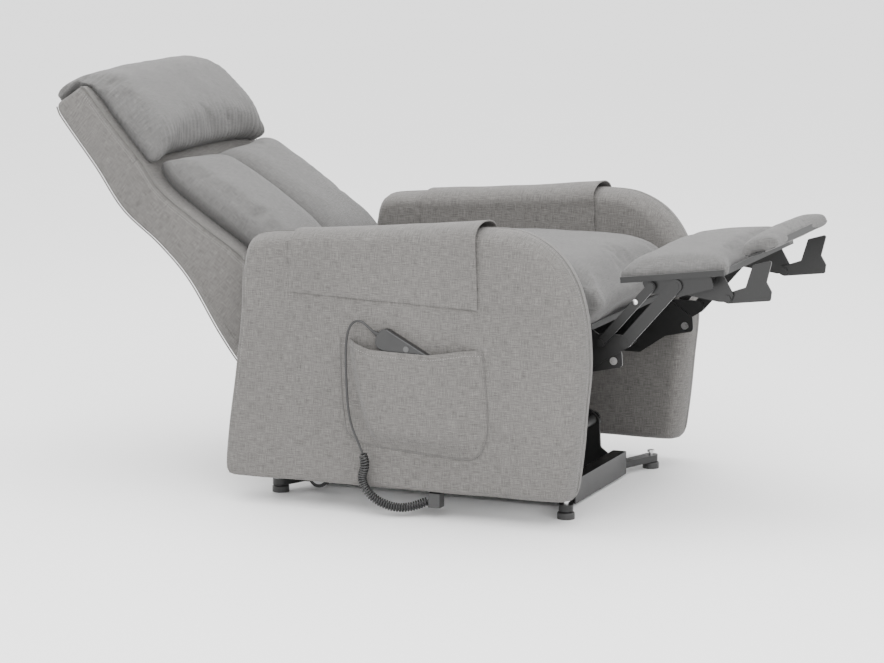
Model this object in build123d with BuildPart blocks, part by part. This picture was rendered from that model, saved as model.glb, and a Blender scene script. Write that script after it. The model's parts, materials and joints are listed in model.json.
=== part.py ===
"""Lift recliner chair, shown leaned back with its footrest out and its lift lowered.

Frame: origin on the floor in the middle of the chair, +Z up, the sitter faces -Y and
the sitter's right hand is on -X. Side profiles are drawn as (forward, up) pairs, where
forward grows towards the feet. All sizes are in millimetres and degrees.
"""
from build123d import *
import math
import os

os.makedirs("parts", exist_ok=True)

# ---- driving dimensions ------------------------------------------------------
MIDDLE = 460.0            # forward distance of the origin in the side profiles
WIDTH = 780.0             # over the two arms
ARM_WIDTH = 110.0         # one upholstered arm
ARM_SKIN = 18.0           # padding over the arm's wooden core
ARM_HEIGHT = 600.0        # top of the arm near its front
ARM_BOTTOM = 54.0         # lower edge of the arm
COVER_CLOTH = 6.0         # folded cloth of a loose arm cover
COVER_TOP = 13.0          # how far a cover stands above the arm
COVER_DROP = 150.0        # how far a cover hangs down the arm
SIDE_GAP = 10.0           # each side, between an arm and what sits between the arms
BACK_LENGTH = 742.0       # along the back, from its hinge to its top edge
BACK_TILT = 50.0          # lean of the back from upright, as drawn
BACK_SKIN = 16.0          # padding of the back shell
PLATE = 4.0               # linkage plates
LIFT_PLATE = 6.0          # lift arms and their brackets
LAYER_GAP = 1.0           # air between neighbouring plates
PIN_R = 4.0               # linkage rivets
LIFT_PIN_R = 6.0          # lift arm and motor pins
HEAD = 2.0                # thickness of a rivet or pin head
FIT = 0.08                # radial clearance of everything that turns on a pin
OPEN_FIT = 0.45           # the same where the upper lift arms meet the seat frame
TORQUE_R = 12.0           # torque tubes
BEAM_TOP = 56.0           # top of the front cross beam
RAIL = 30.0               # square rails of the base and the seat frame
RAIL_WALL = 2.5
RAIL_BOTTOM = 12.0        # underside of the base rails
DECK = 12.0               # seat deck board
SEAT_TOP = 512.0          # highest line of the seat cushion's side
BOARD = 12.0              # footrest boards
PAD_LENGTH = 237.0        # footrest pad, heel to toe
PAD_THICK = 36.0
FLAP_LENGTH = 82.0        # small pad beyond the footrest
FLAP_THICK = 30.0
FOOT_R = 18.0             # levelling feet
FOOT_HEIGHT = 14.0
SCREW_R = 5.0
WHEEL_R = 23.5            # transport wheels
WHEEL_WIDTH = 18.0
AXLE_R = 4.0
POCKET_DEPTH = 24.0       # cloth pocket, out from the arm
HANDSET_LENGTH = 150.0
HANDSET_WIDTH = 45.0
HANDSET_THICK = 17.5
BUTTON_R = 6.0
BUTTON_TRAVEL = 1.2
BUTTON_FIT = 0.15
LEAD_D = 5.0              # straight part of the handset's cord
COIL_D = 20.0             # outside of the curly part

# ---- places worked out from them ---------------------------------------------
HALF = WIDTH / 2
INNER = HALF - ARM_WIDTH                     # inner face of each arm
BODY_HALF = INNER - SIDE_GAP                 # back shell and seat cushion
PAD_HALF = INNER - 35.0                      # footrest pad
FLAP_HALF = PAD_HALF - 60.0
SIDE_X = INNER - 58.0                        # inner face of the seat side plates
LINK_A = SIDE_X + PLATE + LAYER_GAP          # footrest arms and board plates
LINK_B = LINK_A + PLATE + LAYER_GAP          # long footrest links
LINK_C = LINK_B + PLATE + LAYER_GAP          # short footrest links
HANGER_X = 126.0                             # lift brackets and seat hangers
OUTER_LIFT_X = HANGER_X + LIFT_PLATE + 2 * LAYER_GAP
INNER_LIFT_X = HANGER_X - LIFT_PLATE - 2 * LAYER_GAP
FLAP_X = FLAP_HALF + 4.0                     # flap brackets
EXTENSION_X = FLAP_X + PLATE + LAYER_GAP     # plates that carry them
FOOT_X = INNER - 19.0

# pivots as (forward, up)
LIFT_FRONT = (745.0, 125.0)       # lower lift arms on the base
LIFT_FRONT_TOP = (519.0, 128.0)   # lower lift arms on the seat frame
LIFT_REAR = (673.0, 165.0)        # upper lift arms on the base
LIFT_REAR_TOP = (221.0, 218.0)    # upper lift arms on the seat frame
LIFT_LEVER = (716.0, 186.0)       # lift motor's rod on the torque tube's lever
LIFT_MOTOR = (250.0, 84.0)        # lift motor on the base
BACK_HINGE = (250.0, 310.0)
BACK_LEVER = (240.0, 246.0)       # back motor's rod on the back's lever
BACK_MOTOR = (661.0, 222.0)       # back motor on the seat frame
FOOT_HINGE = (801.0, 289.0)       # footrest arms on the seat frame
LONG_LINK = ((948.0, 368.0), (1054.0, 489.0))
LINK_STEP = (-50.0, -4.0)         # short link's pivots from the long link's
FLAP_HINGE = (1150.0, 464.0)
BOARD_HEEL = (927.0, 486.0)       # lower heel edge of the footrest pad
BOARD_TILT = 7.4

SEAT_RAILS = (330.0, 545.0, 740.0)           # forward places of the seat's cross rails
RAIL_TOP = SEAT_TOP - 127.0                  # the seat deck lies on this
DECK_TOP = RAIL_TOP + DECK


def side(x):
    """Plane of a side profile: local axes are forward and up, extrusions grow to -X."""
    return Plane(origin=(x, MIDDLE, 0), x_dir=(0, -1, 0), z_dir=(-1, 0, 0))


def tilted(x, origin, angle):
    """Side profile plane with its own origin and a forward axis raised by an angle."""
    forward = (0, -math.cos(math.radians(angle)), math.sin(math.radians(angle)))
    return Plane(origin=(x, MIDDLE - origin[0], origin[1]), x_dir=forward, z_dir=(-1, 0, 0))


def at(x, place):
    """Point in the chair's frame from an x and a (forward, up) pair."""
    return Vector(x, MIDDLE - place[0], place[1])


def plan(x, forward):
    """Point of a plan view."""
    return (x, MIDDLE - forward)


def finish(name, part):
    """Label a piece and write it."""
    part.label = name
    export_step(part, "parts/" + name + ".step")


def plate(x, thick, outline, holes, corner=6.0):
    """One steel plate from x outwards on the sitter's right: an outline with round holes."""
    with BuildPart() as made:
        with BuildSketch(side(-x)):
            with BuildLine():
                Polyline(*outline, close=True)
            make_face()
            fillet(vertices(), corner)
            for centre, radius in holes:
                with Locations(centre):
                    Circle(radius, mode=Mode.SUBTRACT)
        extrude(amount=thick)
    return made.part


def strap(x, thick, start, end, width, start_r, end_r):
    """One round-ended link from x outwards on the sitter's right, bored at both ends."""
    run = math.dist(start, end)
    turn = math.degrees(math.atan2(end[1] - start[1], end[0] - start[0]))
    middle = ((start[0] + end[0]) / 2, (start[1] + end[1]) / 2)
    with BuildPart() as made:
        with BuildSketch(side(-x)):
            with Locations(middle):
                SlotCenterToCenter(run, width, rotation=turn)
            for centre, radius in ((start, start_r), (end, end_r)):
                with Locations(centre):
                    Circle(radius, mode=Mode.SUBTRACT)
        extrude(amount=thick)
    return made.part


def pin(inside, outside, centre, radius, inner_head=0.0, outer_head=0.0):
    """A pin along X between two distances from the middle, with round heads outside them."""
    with BuildPart() as made:
        with BuildSketch(side(-inside)):
            with Locations(centre):
                Circle(radius)
        extrude(amount=outside - inside)
        if outer_head:
            with BuildSketch(side(-outside)):
                with Locations(centre):
                    Circle(radius + 3.0)
            extrude(amount=outer_head)
        if inner_head:
            with BuildSketch(side(-inside)):
                with Locations(centre):
                    Circle(radius + 3.0)
            extrude(amount=-inner_head)
    return made.part


def both_sides(name, *pieces):
    """Write the given right-hand pieces and their mirror images as one node."""
    with BuildPart() as pair:
        for piece in pieces:
            add(piece)
        mirror(about=Plane.YZ)
    finish(name, pair.part)


def right_and_left(name, piece):
    """Write one piece and its mirror image as two nodes."""
    with BuildPart() as right:
        add(piece)
    with BuildPart() as left:
        mirror(piece, about=Plane.YZ)
    finish(name + "_right", right.part)
    finish(name + "_left", left.part)


def rail(length, centre):
    """Square tube along X, centred on a (forward, up) place."""
    with BuildPart() as made:
        with BuildSketch(side(length / 2)):
            with Locations(centre):
                Rectangle(RAIL, RAIL)
                Rectangle(RAIL - 2 * RAIL_WALL, RAIL - 2 * RAIL_WALL, mode=Mode.SUBTRACT)
        extrude(amount=length)
    return made.part


# ---- base ----------------------------------------------------------------------
BEAM_FRONT = 815.0
BEAM_DEPTH = 30.0
BEAM_HALF = HANGER_X + 29.0
BEAM_BOTTOM = 6.0
RAIL_X = OUTER_LIFT_X + 9.0                   # inner face of each base rail
REAR_RAIL = 230.0                             # forward place of the rear cross rail
RAIL_Z = RAIL_BOTTOM + RAIL / 2
FRONT_FOOT = 834.0
REAR_FOOT = 191.0
ARM_THICK = 14.0                              # outrigger arms
ARM_Z = 16.0
WHEEL_F = 268.0
WHEEL_Z = WHEEL_R + 10.0
WHEEL_X = FOOT_X - 40.0                       # inner face of each wheel

with BuildPart() as base_front_beam:
    with BuildSketch(side(BEAM_HALF)):
        with Locations((BEAM_FRONT - BEAM_DEPTH / 2, (BEAM_TOP + BEAM_BOTTOM) / 2)):
            Rectangle(BEAM_DEPTH, BEAM_TOP - BEAM_BOTTOM)
        with Locations((BEAM_FRONT - BEAM_DEPTH / 2 - 3.0, (BEAM_TOP + BEAM_BOTTOM) / 2)):
            Rectangle(BEAM_DEPTH, BEAM_TOP - BEAM_BOTTOM - 6.0, mode=Mode.SUBTRACT)
    extrude(amount=2 * BEAM_HALF)
finish("base_front_beam", base_front_beam.part)

with BuildPart() as base_rail:
    with BuildSketch(Plane.XZ.offset(BEAM_FRONT - BEAM_DEPTH - MIDDLE)):
        with Locations((-RAIL_X - RAIL / 2, RAIL_Z)):
            Rectangle(RAIL, RAIL)
            Rectangle(RAIL - 2 * RAIL_WALL, RAIL - 2 * RAIL_WALL, mode=Mode.SUBTRACT)
    extrude(amount=-(BEAM_FRONT - BEAM_DEPTH - REAR_RAIL + RAIL / 2))
both_sides("base_side_rails", base_rail.part)


def outrigger(root, foot, root_r, foot_r):
    """Diagonal arm of the base on the sitter's right, bored for a foot's screw."""
    with BuildPart() as made:
        with BuildSketch(Plane.XY.offset(ARM_Z)):
            with Locations(root):
                Circle(root_r)
            with Locations(foot):
                Circle(foot_r)
            make_hull()
            with Locations(foot):
                Circle(SCREW_R, mode=Mode.SUBTRACT)
        extrude(amount=ARM_THICK)
    return made.part


front_root = plan(-BEAM_HALF - 12.0, BEAM_FRONT - BEAM_DEPTH / 2)
front_foot = plan(-FOOT_X, FRONT_FOOT)
rear_root = plan(-RAIL_X - RAIL - 12.0, REAR_RAIL)
rear_foot = plan(-FOOT_X, REAR_FOOT)
with BuildPart() as front_outrigger:
    add(outrigger(front_root, front_foot, 12.0, 15.0))
    with BuildSketch(Plane.XY.offset(ARM_Z)):
        with Locations(plan(-BEAM_HALF - 2.0, BEAM_FRONT - BEAM_DEPTH / 2)):
            Rectangle(4.0, 24.0)
    extrude(amount=ARM_THICK)
both_sides("front_outriggers", front_outrigger.part)

with BuildPart() as rear_outrigger:
    add(outrigger(rear_root, rear_foot, 12.0, 17.0))
    with BuildSketch(side(-WHEEL_X + 2 * LAYER_GAP + PLATE)):
        with BuildLine():
            Polyline((REAR_RAIL - 24.0, ARM_Z), (WHEEL_F - 6.0, ARM_Z), (WHEEL_F + 12.0, WHEEL_Z),
                     (WHEEL_F, WHEEL_Z + 12.0), (REAR_RAIL - 10.0, ARM_Z + ARM_THICK), close=True)
        make_face()
        with Locations((WHEEL_F, WHEEL_Z)):
            Circle(AXLE_R, mode=Mode.SUBTRACT)
    extrude(amount=PLATE)
both_sides("rear_outriggers", rear_outrigger.part)

with BuildPart() as levelling_feet:
    with BuildSketch(Plane.XY):
        with Locations(front_foot, rear_foot):
            Circle(FOOT_R)
    extrude(amount=FOOT_HEIGHT)
    fillet(levelling_feet.edges().group_by(Axis.Z)[-1], 3.0)
both_sides("levelling_feet", levelling_feet.part)

with BuildPart() as levelling_screws:
    with BuildSketch(Plane.XY.offset(FOOT_HEIGHT)):
        with Locations(front_foot, rear_foot):
            Circle(SCREW_R)
    extrude(amount=ARM_Z + ARM_THICK + 5.0 - FOOT_HEIGHT)
    with BuildSketch(Plane.XY.offset(ARM_Z + ARM_THICK + 5.0)):
        with Locations(front_foot, rear_foot):
            RegularPolygon(8.0, 6)
    extrude(amount=5.0)
both_sides("levelling_screws", levelling_screws.part)

axle = pin(WHEEL_X - 2 * LAYER_GAP - PLATE, WHEEL_X + WHEEL_WIDTH + LAYER_GAP, (WHEEL_F, WHEEL_Z), AXLE_R,
           0.0, HEAD)

for name, outer, inner in (("wheel_tyre", WHEEL_R, WHEEL_R - 7.0), ("wheel_hub", WHEEL_R - 7.0, AXLE_R + FIT)):
    with BuildPart() as ring:
        with BuildSketch(side(-WHEEL_X)):
            with Locations((WHEEL_F, WHEEL_Z)):
                Circle(outer)
                Circle(inner, mode=Mode.SUBTRACT)
        extrude(amount=WHEEL_WIDTH)
    right_and_left(name, ring.part)

# Upright brackets behind the front beam, with an apron that spreads them onto the rails
lift_bracket = plate(
    HANGER_X, LIFT_PLATE,
    [(560.0, RAIL_BOTTOM), (784.0, RAIL_BOTTOM), (784.0, 52.0), (766.0, 66.0), (762.0, 128.0),
     (746.0, 144.0), (694.0, 182.0), (664.0, 186.0), (650.0, 160.0), (640.0, 70.0), (560.0, 44.0)],
    [(LIFT_FRONT, TORQUE_R + FIT), (LIFT_REAR, LIFT_PIN_R)])

with BuildPart() as bracket_spacer:
    with BuildSketch(side(-HANGER_X - LIFT_PLATE)):
        with Locations((600.0, RAIL_Z), (700.0, RAIL_Z)):
            Circle(9.0)
    extrude(amount=RAIL_X - HANGER_X - LIFT_PLATE)
both_sides("lift_brackets", lift_bracket, bracket_spacer.part)

CLEVIS_X = 14.0                               # inner face of each motor clevis cheek
lift_motor_cheek = plate(
    CLEVIS_X, PLATE,
    [(REAR_RAIL - 14.0, RAIL_BOTTOM + RAIL), (REAR_RAIL + 14.0, RAIL_BOTTOM + RAIL),
     (LIFT_MOTOR[0] + 13.0, LIFT_MOTOR[1]), (LIFT_MOTOR[0] + 4.0, LIFT_MOTOR[1] + 13.0),
     (LIFT_MOTOR[0] - 10.0, LIFT_MOTOR[1] + 10.0)],
    [(LIFT_MOTOR, LIFT_PIN_R)], 3.0)
with BuildPart() as base_rear_rail:
    add(rail(2 * RAIL_X, (REAR_RAIL, RAIL_Z)))
    add(lift_motor_cheek)
    mirror(lift_motor_cheek, about=Plane.YZ)
finish("base_rear_rail", base_rear_rail.part)

rear_arm_pin = pin(INNER_LIFT_X - LAYER_GAP, HANGER_X + LIFT_PLATE, LIFT_REAR, LIFT_PIN_R, HEAD, HEAD)
motor_pin = pin(0.0, CLEVIS_X + PLATE, LIFT_MOTOR, LIFT_PIN_R, 0.0, HEAD)
both_sides("base_pins", rear_arm_pin, motor_pin, axle)

# ---- lift arms, torque tube and lever ---------------------------------------------
both_sides("lower_lift_arms", strap(OUTER_LIFT_X, LIFT_PLATE, LIFT_FRONT, LIFT_FRONT_TOP, 34.0,
                                    TORQUE_R, LIFT_PIN_R + FIT))
both_sides("upper_lift_arms", strap(INNER_LIFT_X, LIFT_PLATE, LIFT_REAR, LIFT_REAR_TOP, 28.0,
                                    LIFT_PIN_R + FIT, LIFT_PIN_R + OPEN_FIT))

with BuildPart() as lift_torque_tube:
    with BuildSketch(side(OUTER_LIFT_X + LIFT_PLATE)):
        with Locations(LIFT_FRONT):
            Circle(TORQUE_R)
            Circle(TORQUE_R - 4.0, mode=Mode.SUBTRACT)
    extrude(amount=2 * (OUTER_LIFT_X + LIFT_PLATE))


def lever(inner_x, hub, end, hub_r, end_r, hub_hole, end_hole):
    """One cheek of a lever: a tapered plate from a tube to a motor rod's pin."""
    with BuildPart() as made:
        with BuildSketch(side(-inner_x)):
            with Locations(hub):
                Circle(hub_r)
            with Locations(end):
                Circle(end_r)
            make_hull()
            for centre, radius in ((hub, hub_hole), (end, end_hole)):
                with Locations(centre):
                    Circle(radius, mode=Mode.SUBTRACT)
        extrude(amount=PLATE)
    return made.part


lift_lever = lever(CLEVIS_X, LIFT_FRONT, LIFT_LEVER, TORQUE_R + 9.0, 13.0, TORQUE_R, LIFT_PIN_R)
lever_pin = pin(0.0, CLEVIS_X + PLATE, LIFT_LEVER, LIFT_PIN_R, 0.0, HEAD)
with BuildPart() as tube_and_lever:
    add(lift_torque_tube.part)
    for piece in (lift_lever, lever_pin):
        add(piece)
        mirror(piece, about=Plane.YZ)
finish("lift_torque_tube", tube_and_lever.part)

# ---- motors -------------------------------------------------------------------------
MOTOR_TUBE_R = 19.0
ROD_R = 10.0
EYE_HALF = 10.0
EYE_R = 15.0


def motor(name, start, end, tube_length, box_side, slack):
    """Linear motor: an eye, a gearbox with its motor, a tube, and a rod with a slotted eye."""
    run = math.dist(start, end)
    angle = math.degrees(math.atan2(end[1] - start[1], end[0] - start[0]))
    axis = tilted(0.0, start, angle)
    cross = Plane(origin=axis.origin, x_dir=(1, 0, 0), z_dir=axis.x_dir)
    with BuildPart() as gearbox:
        with BuildSketch(axis.offset(-EYE_HALF)):
            Circle(EYE_R)
            with Locations((EYE_R, 0)):
                Rectangle(2 * EYE_R, 2 * EYE_R - 4.0)
            Circle(LIFT_PIN_R + FIT, mode=Mode.SUBTRACT)
        extrude(amount=2 * EYE_HALF)
        with BuildSketch(cross.offset(2 * EYE_R)):
            RectangleRounded(56.0, 56.0, 8.0)
        extrude(amount=62.0)
    can = Plane(origin=axis.origin + axis.x_dir * (2 * EYE_R + 30.0) + Vector(28.0 * box_side, 0, 0),
                x_dir=axis.x_dir, z_dir=(box_side, 0, 0))
    with BuildPart() as housing:
        add(gearbox.part)
        with BuildSketch(can):
            Circle(22.0)
        extrude(amount=60.0)
        with BuildSketch(cross.offset(2 * EYE_R + 62.0)):
            Circle(MOTOR_TUBE_R)
            Circle(ROD_R + FIT, mode=Mode.SUBTRACT)
        extrude(amount=tube_length)
    finish(name + "_housing", housing.part)
    rod_start = 2 * EYE_R + 62.0 + 20.0
    with BuildPart() as rod:
        with BuildSketch(cross.offset(rod_start)):
            Circle(ROD_R)
        extrude(amount=run - EYE_R - 6.0 - rod_start)
        with BuildSketch(axis.offset(-EYE_HALF)):
            with Locations((run, 0)):
                RectangleRounded(2 * EYE_R + 14.0, 2 * (EYE_R + slack), EYE_R - 1.0)
                RectangleRounded(2 * (LIFT_PIN_R + 3.0), 2 * (LIFT_PIN_R + slack), LIFT_PIN_R,
                                 mode=Mode.SUBTRACT)
        extrude(amount=2 * EYE_HALF)
    finish(name + "_rod", rod.part)


motor("lift_motor", LIFT_MOTOR, LIFT_LEVER, 240.0, -1.0, 9.0)
motor("back_motor", BACK_MOTOR, BACK_LEVER, 210.0, 1.0, 4.5)

# ---- seat frame ------------------------------------------------------------------------
SEAT_PLATE_LOW = 262.0
PLATE_BOLT = (921.0, 326.0)       # bolt near the front corner of each side plate
both_sides("seat_side_plates", plate(
    SIDE_X, PLATE,
    [(226.0, 288.0), (226.0, 336.0), (300.0, RAIL_TOP + 6.0), (870.0, RAIL_TOP + 6.0), (938.0, 345.0),
     (940.0, 315.0), (877.0, 301.0), (820.0, SEAT_PLATE_LOW), (300.0, SEAT_PLATE_LOW)],
    [(BACK_HINGE, LIFT_PIN_R), (FOOT_HINGE, TORQUE_R + FIT), (PLATE_BOLT, PIN_R + 1.0)], 8.0))

with BuildPart() as seat_cross_rails:
    for place in SEAT_RAILS:
        add(rail(2 * SIDE_X, (place, RAIL_TOP - RAIL / 2)))
finish("seat_cross_rails", seat_cross_rails.part)

seat_hanger = plate(
    HANGER_X, LIFT_PLATE,
    [(206.0, 204.0), (230.0, 200.0), (420.0, 230.0), (500.0, 112.0), (538.0, 112.0), (545.0, 150.0),
     (560.0, RAIL_TOP - RAIL), (316.0, RAIL_TOP - RAIL), (206.0, 240.0)],
    [(LIFT_FRONT_TOP, LIFT_PIN_R), (LIFT_REAR_TOP, LIFT_PIN_R)], 8.0)

back_motor_cheek = plate(
    CLEVIS_X, PLATE,
    [(BACK_MOTOR[0] - 12.0, BACK_MOTOR[1] - 12.0), (BACK_MOTOR[0] + 14.0, BACK_MOTOR[1] - 12.0),
     (SEAT_RAILS[2] + 14.0, RAIL_TOP - RAIL), (SEAT_RAILS[2] - 14.0, RAIL_TOP - RAIL)],
    [(BACK_MOTOR, LIFT_PIN_R)], 3.0)
both_sides("seat_hangers", seat_hanger, back_motor_cheek)

lower_arm_pin = pin(HANGER_X, OUTER_LIFT_X + LIFT_PLATE + LAYER_GAP, LIFT_FRONT_TOP, LIFT_PIN_R, HEAD, HEAD)
upper_arm_pin = pin(INNER_LIFT_X - LAYER_GAP, HANGER_X + LIFT_PLATE, LIFT_REAR_TOP, LIFT_PIN_R, HEAD, HEAD)
hinge_pin = pin(SIDE_X, LINK_A + PLATE + LAYER_GAP, BACK_HINGE, LIFT_PIN_R, HEAD, HEAD)
back_motor_pin = pin(0.0, CLEVIS_X + PLATE, BACK_MOTOR, LIFT_PIN_R, 0.0, HEAD)
plate_bolt = pin(SIDE_X, SIDE_X + PLATE, PLATE_BOLT, PIN_R + 1.0, HEAD, LAYER_GAP - 0.2)
both_sides("seat_pins", lower_arm_pin, upper_arm_pin, hinge_pin, back_motor_pin, plate_bolt)

SEAT_REAR = 342.0                 # rear end of the seat cushion and of its deck
DECK_FRONT = 872.0
with BuildPart() as seat_deck:
    with BuildSketch(side(SIDE_X)):
        with Locations(((SEAT_REAR + DECK_FRONT) / 2, RAIL_TOP + DECK / 2)):
            Rectangle(DECK_FRONT - SEAT_REAR, DECK)
    extrude(amount=2 * SIDE_X)
finish("seat_deck", seat_deck.part)

with BuildPart() as seat_cushion:
    with BuildSketch(side(BODY_HALF)):
        with BuildLine():
            Polyline((SEAT_REAR, DECK_TOP), (SEAT_REAR, SEAT_TOP - 34.0))
            Spline((SEAT_REAR, SEAT_TOP - 34.0), (SEAT_REAR + 26.0, SEAT_TOP - 18.0), (757.0, SEAT_TOP),
                   (850.0, SEAT_TOP - 9.0), (905.0, SEAT_TOP - 32.0), (936.0, SEAT_TOP - 60.0))
            Polyline((936.0, SEAT_TOP - 60.0), (930.0, SEAT_TOP - 82.0), (884.0, SEAT_TOP - 102.0),
                     (868.0, DECK_TOP), (SEAT_REAR, DECK_TOP))
        make_face()
    extrude(amount=2 * BODY_HALF)
finish("seat_cushion", seat_cushion.part)

with BuildPart() as arm_brackets:
    with BuildSketch(side(-SIDE_X - PLATE)):
        with Locations((400.0, 330.0), (640.0, 330.0)):
            Rectangle(RAIL, RAIL)
            Rectangle(RAIL - 2 * RAIL_WALL, RAIL - 2 * RAIL_WALL, mode=Mode.SUBTRACT)
    extrude(amount=INNER - SIDE_X - PLATE)
both_sides("arm_brackets", arm_brackets.part)

# ---- arms ---------------------------------------------------------------------------------
ARM_REAR = 121.0
ARM_FRONT = 911.0


def arm_outline(inset=0.0):
    """Side profile of an arm, or of its core when a skin thickness is taken off all round."""
    low, top = ARM_BOTTOM + inset, ARM_HEIGHT - inset
    rear, front = ARM_REAR + inset, ARM_FRONT - inset
    with BuildSketch(Plane.XY) as outline:
        with BuildLine():
            Polyline((rear + 12.0, low), (rear, low + 12.0), (rear + 38.0, top - 202.0), (rear + 44.0, top - 76.0))
            Spline((rear + 44.0, top - 76.0), (rear + 56.0, top - 47.0), (rear + 90.0, top - 35.0))
            Line((rear + 90.0, top - 35.0), (front - 206.0, top))
            Spline((front - 206.0, top), (front - 131.0, top - 8.0), (front - 64.0, top - 48.0),
                   (front - 19.0, top - 122.0), (front, top - 250.0))
            Spline((front, top - 250.0), (front - 8.0, low + 180.0), (front - 24.0, low + 24.0))
            Polyline((front - 24.0, low + 24.0), (front - 48.0, low), (rear + 12.0, low))
        make_face()
    return outline.sketch


with BuildPart() as arm_core:
    with BuildSketch(side(-INNER - ARM_SKIN)):
        add(arm_outline(ARM_SKIN))
    extrude(amount=ARM_WIDTH - 2 * ARM_SKIN)
both_sides("arm_cores", arm_core.part)

with BuildPart() as arm:
    with BuildSketch(side(-INNER)):
        add(arm_outline())
    extrude(amount=ARM_WIDTH)
    add(arm_core.part, mode=Mode.SUBTRACT)
right_and_left("arm", arm.part)

with BuildPart() as arm_cover:
    with BuildSketch(side(-INNER + COVER_CLOTH)):
        with BuildLine():
            Polyline((280.0, ARM_HEIGHT - COVER_DROP), (690.0, ARM_HEIGHT - COVER_DROP),
                     (680.0, ARM_HEIGHT + COVER_TOP), (274.0, ARM_HEIGHT - 11.0), close=True)
        make_face()
    extrude(amount=ARM_WIDTH + 2 * COVER_CLOTH)
    with BuildSketch(side(-INNER)):
        add(arm_outline())
    extrude(amount=ARM_WIDTH, mode=Mode.SUBTRACT)
right_and_left("arm_cover", arm_cover.part)

# ---- pocket, handset and its cord ------------------------------------------------------------
POCKET_HEM = 12.0
POCKET_BACK = 1.5
POCKET_FRONT = 2.5
POCKET_POINTS = [(392.0, 364.0), (703.0, 358.0), (715.0, 176.0), (700.0, 131.0), (405.0, 151.0),
                 (394.0, 175.0)]


def pocket_outline(drop=0.0):
    """Side profile of the pocket, or of its hollow when the hem is taken off."""
    with BuildSketch(Plane.XY) as outline:
        with BuildLine():
            Polyline(*POCKET_POINTS, close=True)
        make_face()
        if drop:
            offset(amount=-drop, mode=Mode.REPLACE)
            with Locations((550.0, 350.0)):
                Rectangle(290.0 - drop, 60.0)
    return outline.sketch


with BuildPart() as pocket:
    with BuildSketch(side(-HALF)):
        add(pocket_outline())
    extrude(amount=POCKET_DEPTH)
    with BuildSketch(side(-HALF - POCKET_BACK)):
        add(pocket_outline(POCKET_HEM))
    extrude(amount=POCKET_DEPTH - POCKET_BACK - POCKET_FRONT, mode=Mode.SUBTRACT)
finish("pocket", pocket.part)

HANDSET_TOP = (480.0, 377.5)      # cord end of the handset, on its centre line
HANDSET_SLOPE = -28.0
HANDSET_X = -HALF - POCKET_BACK - 0.5
SPLIT_X = HANDSET_X - HANDSET_THICK / 2
RELIEF_LENGTH = 14.0
handset_plane = tilted(HANDSET_X, HANDSET_TOP, HANDSET_SLOPE)
BUTTON_PLACES = {"back_up": (68.0, 9.5), "back_down": (68.0, -9.5), "lift": (98.0, 9.5), "lower": (98.0, -9.5)}
BUTTON_HOLE = 4.2

for name, plane, thick in (("handset_back", handset_plane, HANDSET_THICK / 2),
                           ("handset_front", handset_plane.offset(HANDSET_THICK / 2), HANDSET_THICK / 2)):
    with BuildPart() as shell:
        with BuildSketch(plane):
            with Locations((HANDSET_LENGTH / 2, 0)):
                RectangleRounded(HANDSET_LENGTH, HANDSET_WIDTH, 16.0)
        extrude(amount=thick)
        outer_face = shell.faces().sort_by(Axis.X)[0 if name == "handset_front" else -1]
        fillet(outer_face.edges(), 3.0)
        if name == "handset_front":
            with BuildSketch(handset_plane.offset(HANDSET_THICK - BUTTON_HOLE)):
                with Locations(*BUTTON_PLACES.values()):
                    Circle(BUTTON_R + BUTTON_FIT)
            extrude(amount=BUTTON_HOLE, mode=Mode.SUBTRACT)
    finish(name, shell.part)

for name, place in BUTTON_PLACES.items():
    with BuildPart() as button:
        with BuildSketch(handset_plane.offset(HANDSET_THICK - BUTTON_HOLE + BUTTON_TRAVEL)):
            with Locations(place):
                Circle(BUTTON_R)
        extrude(amount=BUTTON_HOLE)
    finish("button_" + name, button.part)

relief_base = Plane(origin=tilted(SPLIT_X, HANDSET_TOP, HANDSET_SLOPE).origin, x_dir=(1, 0, 0),
                    z_dir=-handset_plane.x_dir)
with BuildPart() as strain_relief:
    with BuildSketch(relief_base):
        Circle(LEAD_D / 2 + 3.0)
    with BuildSketch(relief_base.offset(RELIEF_LENGTH)):
        Circle(LEAD_D / 2 + 0.8)
    loft()
finish("strain_relief", strain_relief.part)

# The lead's route, as (x, forward, up): out of the strain relief, over a small loop and down
LEAD_POINTS = [
    (SPLIT_X, 467.6, 384.1), (-HALF - 13.0, 455.0, 396.0), (-HALF - 15.0, 443.0, 405.0), (-HALF - 18.0, 428.5, 403.0),
    (-HALF - 22.5, 418.8, 388.5), (-HALF - 27.5, 415.6, 362.0), (-HALF - 28.5, 415.0, 318.0), (-HALF - 28.0, 416.5, 270.0),
    (-HALF - 28.3, 419.5, 226.0), (-HALF - 28.0, 427.0, 188.0), (-HALF - 28.5, 440.0, 161.0), (-HALF - 27.5, 450.0, 137.0)]
COIL_POINTS = [
    (-HALF - 27.5, 450.0, 137.0), (-HALF - 26.5, 460.0, 113.0), (-HALF - 19.0, 442.0, 80.0), (-HALF - 13.0, 460.0, 43.0),
    (-HALF - 2.0, 505.0, 20.0), (-HALF + 16.0, 548.0, 22.0), (-HALF + 28.0, 577.0, 38.0)]


def cord_path(points):
    """Straight runs joined by tangent arcs, each as large as its two runs allow."""
    route = [at(x, (forward, up)) for x, forward, up in points]
    radii = []
    for before, corner, after in zip(route, route[1:], route[2:]):
        turn = (corner - before).get_angle(after - corner)
        shorter = min((corner - before).length, (after - corner).length)
        radii.append(0.45 * shorter / math.tan(math.radians(turn / 2)))
    return route, radii


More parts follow.
